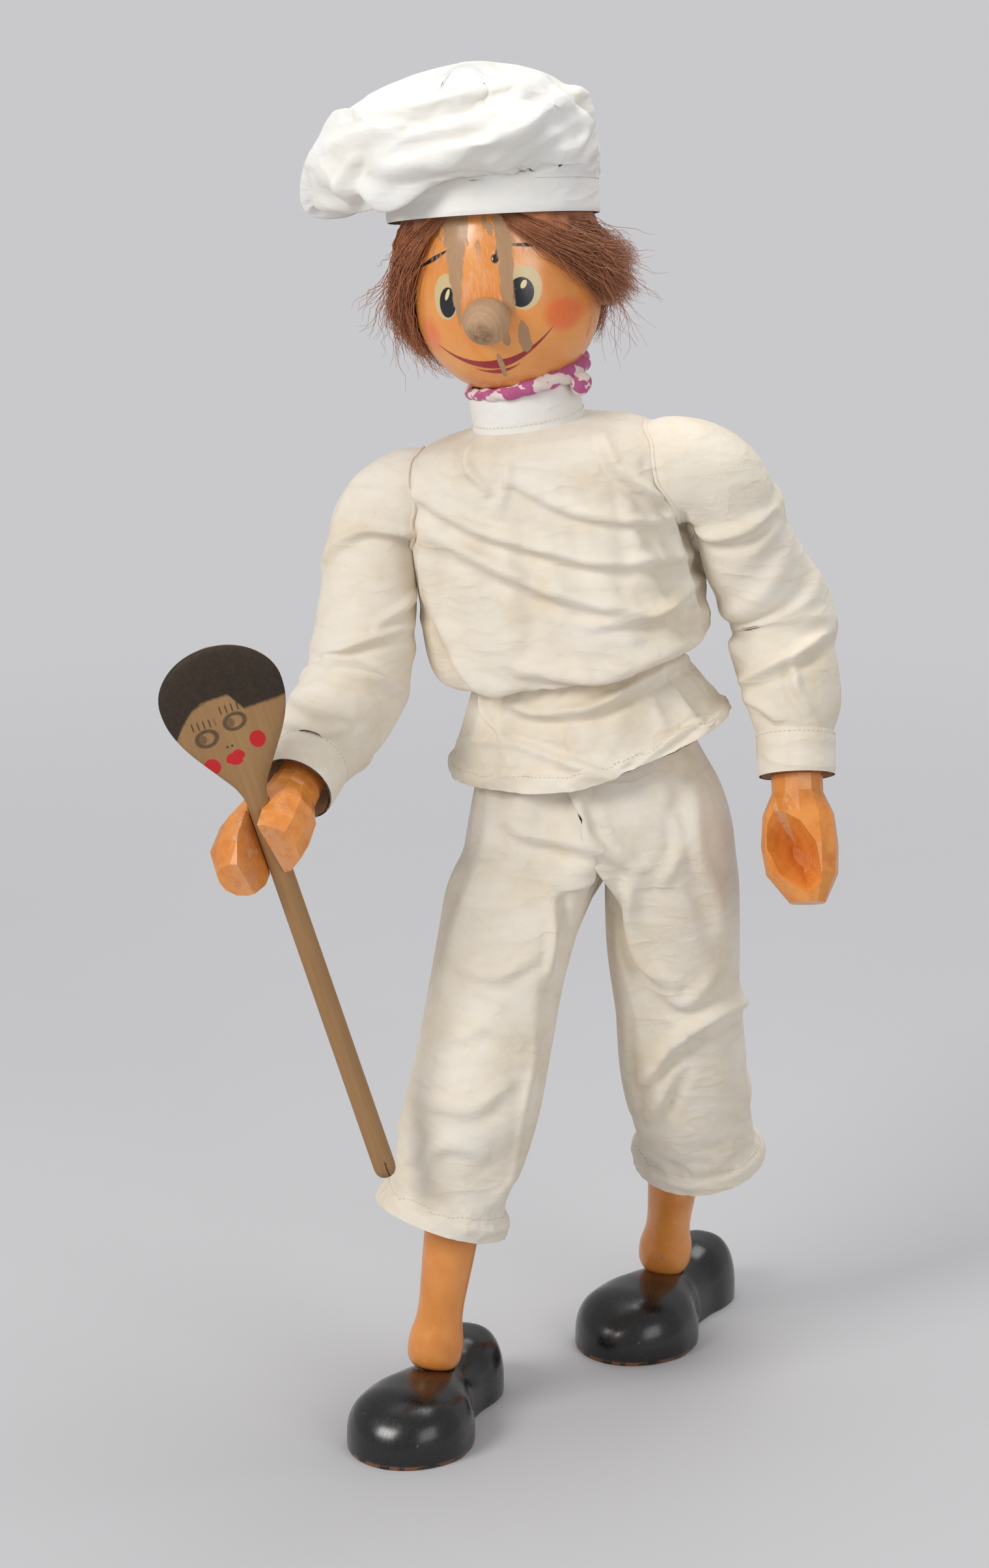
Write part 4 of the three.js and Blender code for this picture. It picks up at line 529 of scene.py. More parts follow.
carved = carved_paint()
for side in ("right", "left"):
    node = frame["nodes"]["hand_" + side]
    hand = placed("hand_of_" + side, node.data.copy())
    work = bmesh.new()
    work.from_mesh(hand.data)
    bmesh.ops.remove_doubles(work, verts=work.verts, dist=1e-5)
    bmesh.ops.dissolve_limit(work, angle_limit=math.radians(3), verts=work.verts, edges=work.edges)
    work.to_mesh(hand.data)
    work.free()
    soft_edge = hand.modifiers.new("worn_edges", "BEVEL")
    soft_edge.width, soft_edge.segments, soft_edge.limit_method = 0.0009, 2, "ANGLE"
    soft_edge.angle_limit = math.radians(14)
    applied(hand)
    hand.data.materials.clear()
    hand.data.materials.append(carved.made)
    hand.data.shade_flat()
    carry_place(hand, hand_stand[side])
    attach(hand, "hand_" + side)
    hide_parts("hand_" + side)

# Spoon: a long bare-wood cook's spoon that slides through the right fist. The back of its bowl faces
# forwards and has a simple folk face painted on it.

SPOON_ABOVE_GRIP, SPOON_BELOW_GRIP, BOWL_WIDTH, BOWL_LENGTH, HANDLE_RADIUS = 137, 261, 86, 112, 7.7
BOWL_BACK, SCOOP_RADIUS, SCOOP_DEPTH = 7.401, 37, 5.6
spoon_stand = Stand(
    hand_stand["right"].out((0, 0, -48)), axis("spoon_slide"), back=(-math.sin(turn), math.cos(turn), 0))


def ellipse(x, z, centre_x, centre_z, half_x, half_z, lean=0.0):
    """Distance from the middle of an ellipse, 1 on its edge."""
    c, s = math.cos(math.radians(lean)), math.sin(math.radians(lean))
    dx, dz = x - centre_x, z - centre_z
    return (((dx * c + dz * s) / half_x) ** 2.0 + ((dz * c - dx * s) / half_z) ** 2.0) ** 0.5


def spoon_wood():
    finish = Finish("spoon_wood")
    place = finish.spot("place")
    x, y, z = finish.parts(place)
    grain = finish.noise(place, 2.2, 4.0, 0.6, stretch=(1, 1, 0.045))
    cloud = finish.noise(place, 30.0, 3.0, 0.5, stretch=(1, 1, 0.3), seed=2.0)
    wood = finish.mix(grain * 0.7 + cloud * 0.3, (0.43, 0.25, 0.11), (0.24, 0.125, 0.05))
    front = y.rise(1.0, -1.0)
    smudge = finish.noise(place, 3.0, 4.0, 0.6, seed=5.0)
    wobble = smudge * 3.0 - 1.5
    hairline = 103.0 - (x + 8.0).least(0.0) ** 2.0 * 0.024 - x.rise(4.0, 14.0) * 12.0 + wobble
    hair = (z - hairline).rise(-1.5, 1.5)
    drawn = finish.mix(hair * (0.86 + smudge * 0.14), wood, (0.012, 0.010, 0.009))
    for eye_x, eye_z in ((-17.8, 78.0), (4.0, 84.4)):
        ring = ellipse(x, z, eye_x, eye_z, 7.0, 5.2, 8.0)
        dark = abs(ring - 1.0).rise(0.34, 0.12) * (0.7 + 0.3 * smudge)
        pupil = ellipse(x, z, eye_x - 3.0, eye_z, 3.0, 3.4).rise(1.15, 0.8) * 0.6
        lashes = ((x - eye_x) * 1.55).wave().rise(0.45, 0.85) * (
            (z - eye_z).rise(6.5, 7.5) * (z - eye_z).rise(13.5, 12.0) * abs(x - eye_x).rise(9.5, 8.5))
        drawn = finish.mix(dark.most(pupil).most(lashes * 0.9) * 0.85, drawn, (0.03, 0.022, 0.018))
    for nose_x in (-6.4, -3.0):
        nostril = ellipse(x, z, nose_x, 68.6, 0.9, 0.9).rise(1.3, 0.8) * 0.8
        drawn = finish.mix(nostril, drawn, (0.04, 0.025, 0.02))
    heart = ellipse(x, z, -6.3, 60.4, 4.2, 3.0, 35.0).least(ellipse(x, z, -0.3, 61.8, 4.2, 3.0, -35.0))
    heart = heart.least(ellipse(x, z, -3.4, 57.6, 4.4, 2.7))
    cheeks = ellipse(x, z, -20.5, 57.8, 5.8, 5.8).least(ellipse(x, z, 14.8, 68.0, 5.4, 6.0))
    drawn = finish.mix(heart.least(cheeks).rise(1.06, 0.94), drawn, (0.52, 0.018, 0.022))
    crack = abs(x - 1.5 - smudge).rise(0.7, 0.3) * z.rise(-246.0, -249.0)
    painted = finish.mix(crack * 0.8, finish.mix(front, wood, drawn), (0.03, 0.015, 0.01))
    finish.set(Base_Color=painted, Roughness=grain * 0.2 + 0.52, Specular_IOR_Level=0.3)
    return finish.bump(grain - crack * 2.0, 0.18)


def wooden_spoon():
    end, start, half, r = -SPOON_BELOW_GRIP, SPOON_ABOVE_GRIP - BOWL_LENGTH, BOWL_WIDTH / 2, HANDLE_RADIUS
    rows = [(end, 0.4, 0.4), (end + 0.8, 3.6, 3.6), (end + 3, 6.3, 6.3), (end + 8, r, r), (-120, r, r),
            (0, r, r), (start, r, r)]
    bowl = [(0.1, 0.25, 7.4), (0.2, 0.42, 7.2), (0.3, 0.6, 7), (0.4, 0.77, 6.8), (0.5, 0.9, 6.6),
            (0.6, 0.98, 6.5), (0.7, 1.0, 6.4), (0.8, 0.94, 6.1), (0.9, 0.74, 5.2), (0.96, 0.5, 4.2),
            (0.99, 0.26, 3.2), (1.0, 0.06, 2)]
    rows += [(start + share * BOWL_LENGTH, half * wide, deep) for share, wide, deep in bowl]
    rings = [spoon_stand.out(oval(0, 0, z, wide, deep, 56, 2.15)) for z, wide, deep in flowing(rows, 120)]
    spoon = skinned("cook_spoon", rings, spoon_wood(), ends=(True, True))
    middle, scoop = start + 0.62 * BOWL_LENGTH, []
    for a in np.radians(np.linspace(-89, 89, 30)):
        wide, deep = SCOOP_RADIUS * math.cos(a), SCOOP_DEPTH * math.cos(a)
        scoop.append(
            spoon_stand.out(oval(0, BOWL_BACK, middle + SCOOP_RADIUS * math.sin(a), wide, deep, 40)))
    cut_away(spoon, skinned("scoop", scoop, bare_wood, ends=(True, True)))
    return carry_place(spoon, spoon_stand)


spoon = wooden_spoon()
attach(spoon, "spoon")
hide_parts("wooden_spoon")

# Head: a ball turned with a taller crown, painted orange with a simple face. Its paint is worn to the
# wood in two streaks down the forehead, and it is slotted below for the neck post.

HEAD_RADIUS, HEAD_CROWN, NECK_RADIUS = 64, 100, 13


def head_radius(height):
    if height <= 0:
        return math.sqrt(max(HEAD_RADIUS**2 - height**2, 0))
    return HEAD_RADIUS * max(1 - (height / HEAD_CROWN) ** 2.4, 0) ** (1 / 2.4)


def face_paint():
    finish = Finish("face_paint", IOR=1.5, Coat_Weight=0.3, Coat_Roughness=0.15)
    place = finish.spot("place")
    x, y, z = finish.parts(place)
    front = y.rise(-8.0, -20.0)
    rough = finish.noise(place, 5.0, 5.0, 0.7, stretch=(1, 1, 0.35))
    ragged = (rough - 0.5) * 9.0
    fine = finish.noise(place, 1.6, 4.0, 0.65, seed=3.0)
    cloud = finish.noise(place, 34.0, 3.0, 0.5, seed=1.0)
    body = finish.mix(cloud.rise(0.3, 0.7), (0.86, 0.36, 0.09), (0.78, 0.27, 0.055))
    # Painted shade: the orange is darker towards the bottom of the head.
    body = finish.mix(z.rise(-20.0, -60.0) * 0.35, body, (0.66, 0.22, 0.045))
    pink = finish.noise(place, 15.0, 4.0, 0.7, stretch=(1, 1, 0.4), seed=6.0)
    rubbed = ellipse(x, z, 27.0, 44.0, 20.0, 24.0).rise(1.1, 0.6) * pink.rise(0.35, 0.6)
    forehead = ellipse(x, z, -4.0, 40.0, 22.0, 30.0).rise(1.1, 0.5)
    rubbed = rubbed.most(forehead * pink.rise(0.5, 0.62) * 0.7)
    scratched = finish.noise(place, 3.2, 4.0, 0.7, stretch=(1, 1, 0.12), seed=16.0).rise(0.5, 0.62)
    rubbed = rubbed.most(scratched * ellipse(x, z, 0.0, 36.0, 40.0, 40.0).rise(1.0, 0.6) * 0.6)
    body = finish.mix(rubbed * front * 0.75, body, (0.88, 0.50, 0.31))
    blush = finish.noise(place, 4.0, 4.0, 0.6, seed=9.0)
    warm = ellipse(x, z, 47.0, -7.0, 12.5, 13.0).rise(1.15, 0.55) * (0.55 + 0.45 * blush)
    warm = warm.most(ellipse(x, z, -47.0, -10.0, 9.0, 14.0).rise(1.25, 0.4) * 0.6)
    body = finish.mix(warm * front * 0.8, body, (0.84, 0.10, 0.03))
    right_eye = ((-28.6, 17.5, 9.4, 15.8, -12.0), (-28.0, 13.6, 6.4, 10.6, -14.0),
                 (-27.4, 19.0, 1.3, 4.2, -28.0))
    left_eye = ((26.6, 17.0, 11.0, 15.0, -4.0), (24.2, 14.4, 8.2, 10.2, -4.0),
                (26.6, 19.4, 1.8, 3.0, -30.0))
    whites, pupils, glints = (
        ellipse(x, z, *right).least(ellipse(x, z, *left)) for right, left in zip(right_eye, left_eye))
    brow = abs(z - (43.6 + (x + 34.0) * 0.46)) - (1.75 - abs(x + 35.0) * 0.1)
    brow = brow.most(abs(x + 34.5) - 12.0)
    hook = (abs(x + 21.6 - (z - 47.0) * 0.1) - 1.0).most(abs(z - 47.0) - 2.4)
    left_brow = (abs(z - (45.8 - (x - 27.0) * 0.24)) - (1.25 - abs(x - 31.0) * 0.05)).most(
        abs(x - 31.5) - 11.0)
    comma = (ellipse(x, z, 10.4, 39.6, 2.5, 2.9) - 1.0).least(
        (abs(x - 10.6 - (z - 39.0) * 0.28) - 0.7).most(abs(z - 42.6) - 3.2))
    lines = brow.least(hook).least(left_brow).least(comma)
    curve = -33.4 + (x + 3.0) ** 2.0 * 0.0108
    lips = (abs(z - curve) - (3.3 - abs(x + 2.0) * 0.074)).most(abs(x + 1.5) - 41.0)
    lower = (abs(z - (-39.2 + (x + 2.5) ** 2.0 * 0.016)) - (1.7 - abs(x + 2.5) * 0.1)).most(
        abs(x + 2.5) - 16.0)
    drawn = body
    for shape, colour in (
            (whites.rise(1.04, 0.97), (0.66, 0.52, 0.27)), (pupils.rise(1.04, 0.97), (0.008, 0.009, 0.012)),
            (glints.rise(1.1, 0.9), (0.8, 0.66, 0.36)), (lines.rise(0.35, -0.25), (0.02, 0.012, 0.014)),
            (lips.least(lower).rise(0.35, -0.25), (0.33, 0.012, 0.02))):
        drawn = finish.mix(shape * front, drawn, colour)
    left_edge = abs(x + 18.0 - (z - 38.0) * 0.09) - (5.0 + (z - 30.0) * 0.13) + ragged
    streaks = left_edge.rise(0.8, -0.8) * z.rise(-34.0, -26.0)
    right_edge = abs(x - 17.5 - (z - 45.0) * 0.05) - (4.6 + (z - 30.0) * 0.035) + ragged
    streaks = streaks.most(right_edge.rise(0.8, -0.8) * z.rise(-5.0, 6.0))
    for patch in ((21.0, -17.0, 3.8, 11.0), (0.8, -35.0, 2.0, 9.5), (9.0, -16.0, 2.4, 5.0)):
        streaks = streaks.most((ellipse(x, z, *patch) + ragged * 0.12).rise(1.05, 0.95))
    drips = finish.noise(place, 6.0, 3.0, 0.6, stretch=(1, 1, 0.14), seed=12.0).rise(0.585, 0.6)
    streaks = streaks.most(drips * z.rise(34.0, 56.0) * abs(x - 2.0).rise(46.0, 38.0))
    chips = finish.noise(place, 2.6, 3.0, 0.6, stretch=(1, 1, 0.3), seed=14.0).rise(0.69, 0.71)
    chips = chips * ellipse(x, z, 0.0, 12.0, 27.0, 40.0).rise(1.2, 0.8)
    grain = finish.noise(place, 2.0, 4.0, 0.6, stretch=(1, 1, 0.05), seed=5.0)
    wood = finish.mix(grain, (0.52, 0.31, 0.16), (0.37, 0.21, 0.105))
    bare = streaks * front
    drawn = finish.mix(chips * front * 0.9, drawn, (0.88, 0.58, 0.36))
    finish.set(Base_Color=finish.mix(bare, drawn, wood), Roughness=bare * 0.32 + fine * 0.12 + 0.22)
    return finish.bump(cloud * 0.5 + fine * 0.12 + grain * bare * 0.3 - bare * 0.8 - chips * 0.6, 0.4)


def head_ball():
    angles = np.linspace(-math.pi / 2, math.pi / 2, 90)
    heights = [HEAD_RADIUS * math.sin(a) if a < 0 else HEAD_CROWN * math.sin(a) for a in angles[1:-1]]
    rings = [head.out(oval(0, 0, z, head_radius(z), head_radius(z), 112)) for z in heights]
    ball = skinned("painted_head", rings, face_paint(), ends=(True, True))
    slot = [head.out(oval(0, 0, z, NECK_RADIUS + 1, deep, 40, 4.0)) for z, deep in ((-70, 32), (16, 17))]
    cut_away(ball, skinned("neck_slot", slot, bare_wood, ends=(True, True)))
    return carry_place(ball, head)


ball = head_ball()
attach(ball, "head")
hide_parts("head")

# Nose and ears: the nose is a bare round knob glued in on a peg, and each ear a flat disc of plain
# wood let into the side of the head.

NOSE_RADIUS, EAR_HEIGHT = 16.5, 30


def knob_wood():
    finish = Finish("knob_wood")
    place = finish.spot("place")
    x, y, z = finish.parts(place)
    grain = finish.noise(place, 1.7, 5.0, 0.65, stretch=(1, 0.3, 1))
    pith = ellipse(x, z, -1.0, -3.0, 1.0, 1.15) * 1.9 + finish.noise(place, 9.0, 3.0, 0.6) * 9.0
    rings = pith.wave() * 0.5 + 0.5
    wood = finish.mix(grain * 0.8 + rings * 0.2, (0.60, 0.37, 0.21), (0.38, 0.22, 0.12))
    dirt = finish.noise(place, 5.0, 4.0, 0.7, seed=3.0).rise(0.25, 0.6)
    dirt = ellipse(x, z, -2.0, -6.0, 9.5, 8.0).rise(1.3, 0.4) * dirt
    wood = finish.mix(dirt * 0.75, wood, (0.15, 0.075, 0.035))
    rim = y.rise(-71.5, -66.5) * finish.noise(place, 4.0, 4.0, 0.7, seed=7.0).rise(0.42, 0.5)
    finish.set(Base_Color=finish.mix(rim, wood, (0.84, 0.42, 0.17)), Roughness=grain * 0.2 + 0.55)
    return finish.bump(grain, 0.3)


nose_rows = []
for a in np.radians(np.linspace(-88, 88, 36)):
    r, y = NOSE_RADIUS * math.cos(a) * (1 + 0.02 * math.sin(5 * a)), -73 + NOSE_RADIUS * math.sin(a)
    nose_rows.append(head.out(oval(0, 0, 0, r, r, 48)[:, [0, 2, 1]] + (0, y, 0)))
nose = carry_place(skinned("nose_knob", nose_rows, knob_wood(), ends=(True, True)), head)
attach(nose, "head")
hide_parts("nose")
ear_wood = plain_wood("ear_wood", (0.60, 0.42, 0.25), (0.42, 0.26, 0.13))
for side, way in OUTWARD.items():
    rim = [(54.5, 0.9), (68.6, 0.96), (69.6, 1.0), (70.3, 0.98), (70.7, 0.9), (70.8, 0.5)]
    rows = []
    for x, share in rim:
        ring = oval(0, 0, 0, EAR_HEIGHT / 2 * 0.72 * share, EAR_HEIGHT / 2 * share, 48)
        rows.append(head.out(ring[:, [2, 0, 1]] + (way * x, 4, 2)))
    ear = skinned("ear_disc_" + side, rows, ear_wood, ends=(True, True))
    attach(ear, "head")
    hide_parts("ear_" + side)

# Trousers: two halves of cream cotton joined by a centre seam, loose round the legs, with turned and
# stitched hems. They hang from under the jacket and crease at the crotch and the knees.

COTTON, HEMMED_COTTON, STIFFENED_COTTON, FOLDED_BAND = 1.0, 1.3, 2.0, 1.8
LOST, ABOVE_WAIST = -999.0, -150.0


def scaled_colour(colour, *shares):
    return tuple(c * share for c, share in zip(colour, shares))


def cotton(name, colour, stain_and_crease_shade, amount):
    """Woven cotton, washed, creased and stained, with painted shade along its creases; amount says how much
    of the stains and the painted shade.
    """
    finish = Finish(name, Sheen_Weight=0.1, Sheen_Roughness=0.6, Specular_IOR_Level=0.2)
    place = finish.spot()
    laid_out = finish.node("UVMap", {"uv_map": "cloth"})
    sheet = finish.node("VectorMath", {"operation": "SCALE"}, {0: laid_out, 3: 1000.0})
    u, v, _ = finish.parts(sheet)
    slub = finish.noise(sheet, 5.0, 2.0, 0.6, stretch=(1, 0.08, 1))
    slub = slub + finish.noise(sheet, 5.0, 2.0, 0.6, stretch=(0.08, 1, 1))
    weave = (u * 7.4).wave() * (v * 7.4).wave()
    cloud = finish.noise(place, 60.0, 5.0, 0.6)
    base = finish.mix(cloud.rise(0.35, 0.7) * 0.8, colour, scaled_colour(colour, 0.94, 0.91, 0.84))
    yellow = finish.noise(place, 46.0, 5.0, 0.62, seed=3.0).rise(0.45, 0.75) * amount * 0.6
    base = finish.mix(yellow, base, stain_and_crease_shade)
    brown = finish.noise(place, 11.0, 4.0, 0.6, seed=8.0).rise(0.68, 0.8) * amount * 0.7
    base = finish.mix(brown, base, scaled_colour(stain_and_crease_shade, 0.92, 0.74, 0.5))
    specks = finish.noise(place, 4.0, 3.0, 0.6, seed=11.0).rise(0.75, 0.8) * amount
    base = finish.mix(specks * 0.45, base, (0.33, 0.17, 0.07))
    large = finish.noise(place, 34.0, 2.0, 0.45, stretch=(0.6, 0.6, 1.5), seed=15.0)
    small = finish.noise(place, 13.0, 2.0, 0.5, stretch=(0.7, 0.7, 1.3), seed=18.0)
    large, small = ((1.0 - abs(cloudy - 0.5) * 5.0).most(0.0) ** 2.0 for cloudy in (large, small))
    creases = large + small * 0.3
    # Painted shade: the cloth is darkened along its creases, in a tint of the stain colour.
    base = finish.mix(creases * amount * 0.22, base, scaled_colour(stain_and_crease_shade, 1.02, 0.98, 0.95))
    finish.set(Base_Color=finish.mix(slub * 0.12, base, (0.9, 0.86, 0.78)), Roughness=slub * 0.1 + 0.8)
    return finish.bump(weave * 0.06 + slub * 0.14 + creases, 0.9, 0.8)


def put_points(mesh, points):
    mesh.vertices.foreach_set("co", np.asarray(points, np.float32).ravel())
    mesh.update()


def seen(points):
    """Where points stand in the front view, from its upper left corner."""
    across = unit(np.cross((0, 0, 1), camera_back))
    up = np.cross(np.array(camera_back), across)
    away = np.asarray(points) - np.array(camera.location)
    depth = -(away @ np.array(camera_back))
    scale = camera.data.lens / camera.data.sensor_width * VIEW_TALL / depth
    return np.stack([VIEW_WIDE / 2 + scale * (away @ across), VIEW_TALL / 2 - scale * (away @ up)], 1)


def folded(piece, folds):
    """Folds pressed into the cloth, each drawn as a line across the front view with a width there and a
    height in mm. The hollow beside it lies below a line that runs from left to right."""
    mesh = piece.data
    points, ways = points_of(mesh), points_of(mesh, "normal")
    flat = seen(points)
    facing = np.clip(2.5 * ways @ np.array(camera_back), 0, 1)
    lift = np.zeros(len(points))
    for line, width, height in folds:
        line = flowing([(x, y, 0) for x, y in line], 22)[:, :2]
        near = np.full(len(points), 1e9)
        side, share = np.zeros(len(points)), np.zeros(len(points))
        for i, (a, b) in enumerate(zip(line[:-1], line[1:])):
            d = b - a
            t = np.clip((flat - a) @ d / max(d @ d, 1e-9), 0, 1)
            off = flat - a - t[:, None] * d
            far = np.hypot(*off.T)
            closer = far < near
            near[closer] = far[closer]
            side[closer] = np.sign(off[:, 0] * d[1] - off[:, 1] * d[0])[closer]
            share[closer] = ((i + t) / (len(line) - 1))[closer]
        taper = np.sin(math.pi * np.clip(0.1 + 0.8 * share, 0, 1)) ** 0.8
        hollow = np.exp(-((side * near + 1.5 * width) / (0.9 * width)) ** 2)
        lift += height * taper * (np.exp(-(near / width) ** 2) - 0.6 * hollow)
    points = points + ways * (facing * lift / 1000)[:, None]
    pairs = np.empty(len(mesh.edges) * 2, int)
    mesh.edges.foreach_get("vertices", pairs)
    first, second = pairs[0::2], pairs[1::2]
    beside = np.bincount(pairs, minlength=len(points))[:, None]
    ease = 0.5 * np.clip(np.abs(facing * lift) / 2, 0, 1)[:, None]
    for _ in range(4):
        total = np.zeros_like(points)
        np.add.at(total, first, points[second])
        np.add.at(total, second, points[first])
        points = points + ease * (total / beside - points)
    put_points(mesh, points)
    return piece


def normals_of(rings):
    """Outward ways at each point of a tube's rings."""
    across = np.roll(rings, -1, 1) - np.roll(rings, 1, 1)
    along = np.gradient(rings, axis=0)
    ways = np.cross(across, along)
    ways /= np.maximum(np.linalg.norm(ways, axis=2, keepdims=True), 1e-9)
    if np.sum(ways * (rings - rings.mean(1, keepdims=True))) < 0:
        ways = -ways
    return ways


def creased(rings, creases):
    """Rings with creases, each from a share round and along to another, with a width and height in mm."""
    rows, columns = rings.shape[:2]
    wide = np.linalg.norm(np.roll(rings, -1, 1) - rings, axis=2).sum(1).mean() * 1000
    steps = np.linalg.norm(np.diff(rings, axis=0), axis=2).mean(1) * 1000
    down = np.concatenate([[0.0], np.cumsum(steps)])[:, None]
    around = (np.arange(columns) / columns * wide)[None, :]
    lift = np.zeros((rows, columns))
    for u0, v0, u1, v1, width, height in creases:
        a = np.array([u0 * wide, v0 * down[-1, 0]])
        d = np.array([u1 * wide, v1 * down[-1, 0]]) - a
        long = math.hypot(*d)
        du = (around - a[0] + wide / 2) % wide - wide / 2 + 0 * down
        dv = down - a[1] + 0 * around
        t = np.clip((du * d[0] + dv * d[1]) / long**2, 0, 1)
        off = (du * d[1] - dv * d[0]) / long + 0.06 * long * np.sin(math.pi * t)
        past = np.hypot(du - t * d[0], dv - t * d[1])
        ends = np.exp(-np.maximum(past - np.abs(off), 0) ** 2 / 90)
        taper = np.sin(math.pi * np.clip(0.08 + 0.84 * t, 0, 1)) * ends
        hollow = np.exp(-((off - 1.7 * width) / (1.1 * width)) ** 2)
        lift += height * taper * (np.exp(-(off / width) ** 2) - 0.42 * hollow)
    return rings + normals_of(rings) * lift[:, :, None] / 1000


def settled(piece, slack, hold, frames, fall, cap):
    """The cloth cut a little larger than its shape and let go, so that it buckles as worn cotton does.
    fall is its share of the real weight and cap the most that a point moves, in mm."""
    before = points_of(piece.data)
    group = piece.vertex_groups.new(name="held")
    for i, weight in enumerate(hold):
        group.add([i], float(weight), "REPLACE")
    drape = piece.modifiers.new("settle", "CLOTH")
    cloth = drape.settings
    cloth.quality, cloth.mass = 6, 0.12
    cloth.tension_stiffness = cloth.compression_stiffness = 12.0
    cloth.shear_stiffness, cloth.bending_stiffness = 4.0, 0.6
    cloth.tension_damping = cloth.compression_damping = 3.0
    cloth.air_damping = 4.0
    cloth.vertex_group_mass, cloth.pin_stiffness = "held", 1.2
    cloth.shrink_min = cloth.shrink_max = -slack
    cloth.effector_weights.gravity = fall
    drape.collision_settings.use_collision = False
    scene = bpy.context.scene
    for step in range(1, frames + 1):
        scene.frame_set(step)
    shape = bpy.data.meshes.new_from_object(piece.evaluated_get(bpy.context.evaluated_depsgraph_get()))
    move = points_of(shape) - before
    scene.frame_set(1)
    piece.modifiers.clear()
    piece.vertex_groups.clear()
    reach = np.maximum(np.linalg.norm(move, axis=1, keepdims=True), 1e-9)
    put_points(piece.data, before + move * cap / 1000 * np.tanh(reach * 1000 / cap) / reach)
    return piece


def finer(piece):
    smooth = piece.modifiers.new("finer", "SUBSURF")
    smooth.levels = smooth.render_levels = 1
    bpy.context.view_layer.update()
    return applied(piece)


def walled(piece, thick):
    """Gives cloth its thickness, inwards from its face, and keeps the face's shading on both sides."""
    mesh = piece.data
    n, points = len(mesh.vertices), points_of(mesh)
    ways = points_of(mesh, "normal")
    if "shading" in mesh.attributes:
        held = np.zeros(n * 3, np.float32)
        mesh.attributes["shading"].data.foreach_get("vector", held)
        ways = held.reshape(-1, 3)
    faces = [tuple(face.vertices) for face in mesh.polygons]
    uv = [tuple(corner.uv) for corner in mesh.uv_layers["cloth"].data]
    edges, corner_uv, inner_uv, at = set(), {}, [], 0
    for face in faces:
        edges.update(zip(face, face[1:] + face[:1]))
        corner_uv.update(zip(face, uv[at:at + len(face)]))
        inner_uv += uv[at:at + len(face)][::-1]
        at += len(face)
    rim = sorted((a, b) for a, b in edges if (b, a) not in edges)
    wall = bpy.data.meshes.new(piece.name)
    wall.from_pydata(
        [tuple(p) for p in np.concatenate([points, points - ways * thick / 1000])], [],
        faces + [tuple(v + n for v in face[::-1]) for face in faces]
        + [(b, a, a + n, b + n) for a, b in rim])
    sheet = wall.uv_layers.new(name="cloth")
    rim_uv = [corner_uv[v] for a, b in rim for v in (b, a, a, b)]
    sheet.data.foreach_set("uv", np.array(uv + inner_uv + rim_uv, np.float32).ravel())
    wall.shade_smooth()
    wall.normals_split_custom_set_from_vertices([tuple(w) for w in np.concatenate([ways, -ways])])
    wall.materials.append(mesh.materials[0])
    piece.data = wall
    return piece


def opened(piece):
    """Takes away the faces that have a lost station, and gives their other corners one above the waist."""
    work = bmesh.new()
    work.from_mesh(piece.data)
    station = work.verts.layers.float["station"]
    inside = [face for face in work.faces if min(corner[station] for corner in face.verts) == LOST]
    bmesh.ops.delete(work, geom=inside, context="FACES")
    for corner in work.verts:
        corner[station] = max(corner[station], ABOVE_WAIST)
    work.to_mesh(piece.data)
    work.free()


def cut_apart(piece, names, cuts):
    """The garment as separate named pieces of cloth, cut at stations along it, each with the shading
    of the whole."""
    mesh = piece.data
    station = np.zeros(len(mesh.vertices), np.float32)
    mesh.attributes["station"].data.foreach_get("value", station)
    mesh.attributes.new("shading", "FLOAT_VECTOR", "POINT").data.foreach_set(
        "vector", points_of(mesh, "normal").astype(np.float32).ravel())
    made = []
    for name, low, high in zip(names, cuts[:-1], cuts[1:]):
        work = bmesh.new()
        work.from_mesh(mesh)
        away = [f for f in work.faces if not low <= np.mean([station[v.index] for v in f.verts]) < high]
        bmesh.ops.delete(work, geom=away, context="FACES")
        part = bpy.data.meshes.new(name)
        work.to_mesh(part)
        work.free()
        part.materials.clear()
        part.materials.append(mesh.materials[0])
        made.append(walled(placed(name, part), COTTON))
    bpy.data.objects.remove(piece)
    return made


def mark_stations(piece, values):
    """Writes on each point of a garment how far along it the point is."""
    held = piece.data.attributes.new("station", "FLOAT", "POINT")
    held.data.foreach_set("value", np.asarray(values, np.float32).ravel())


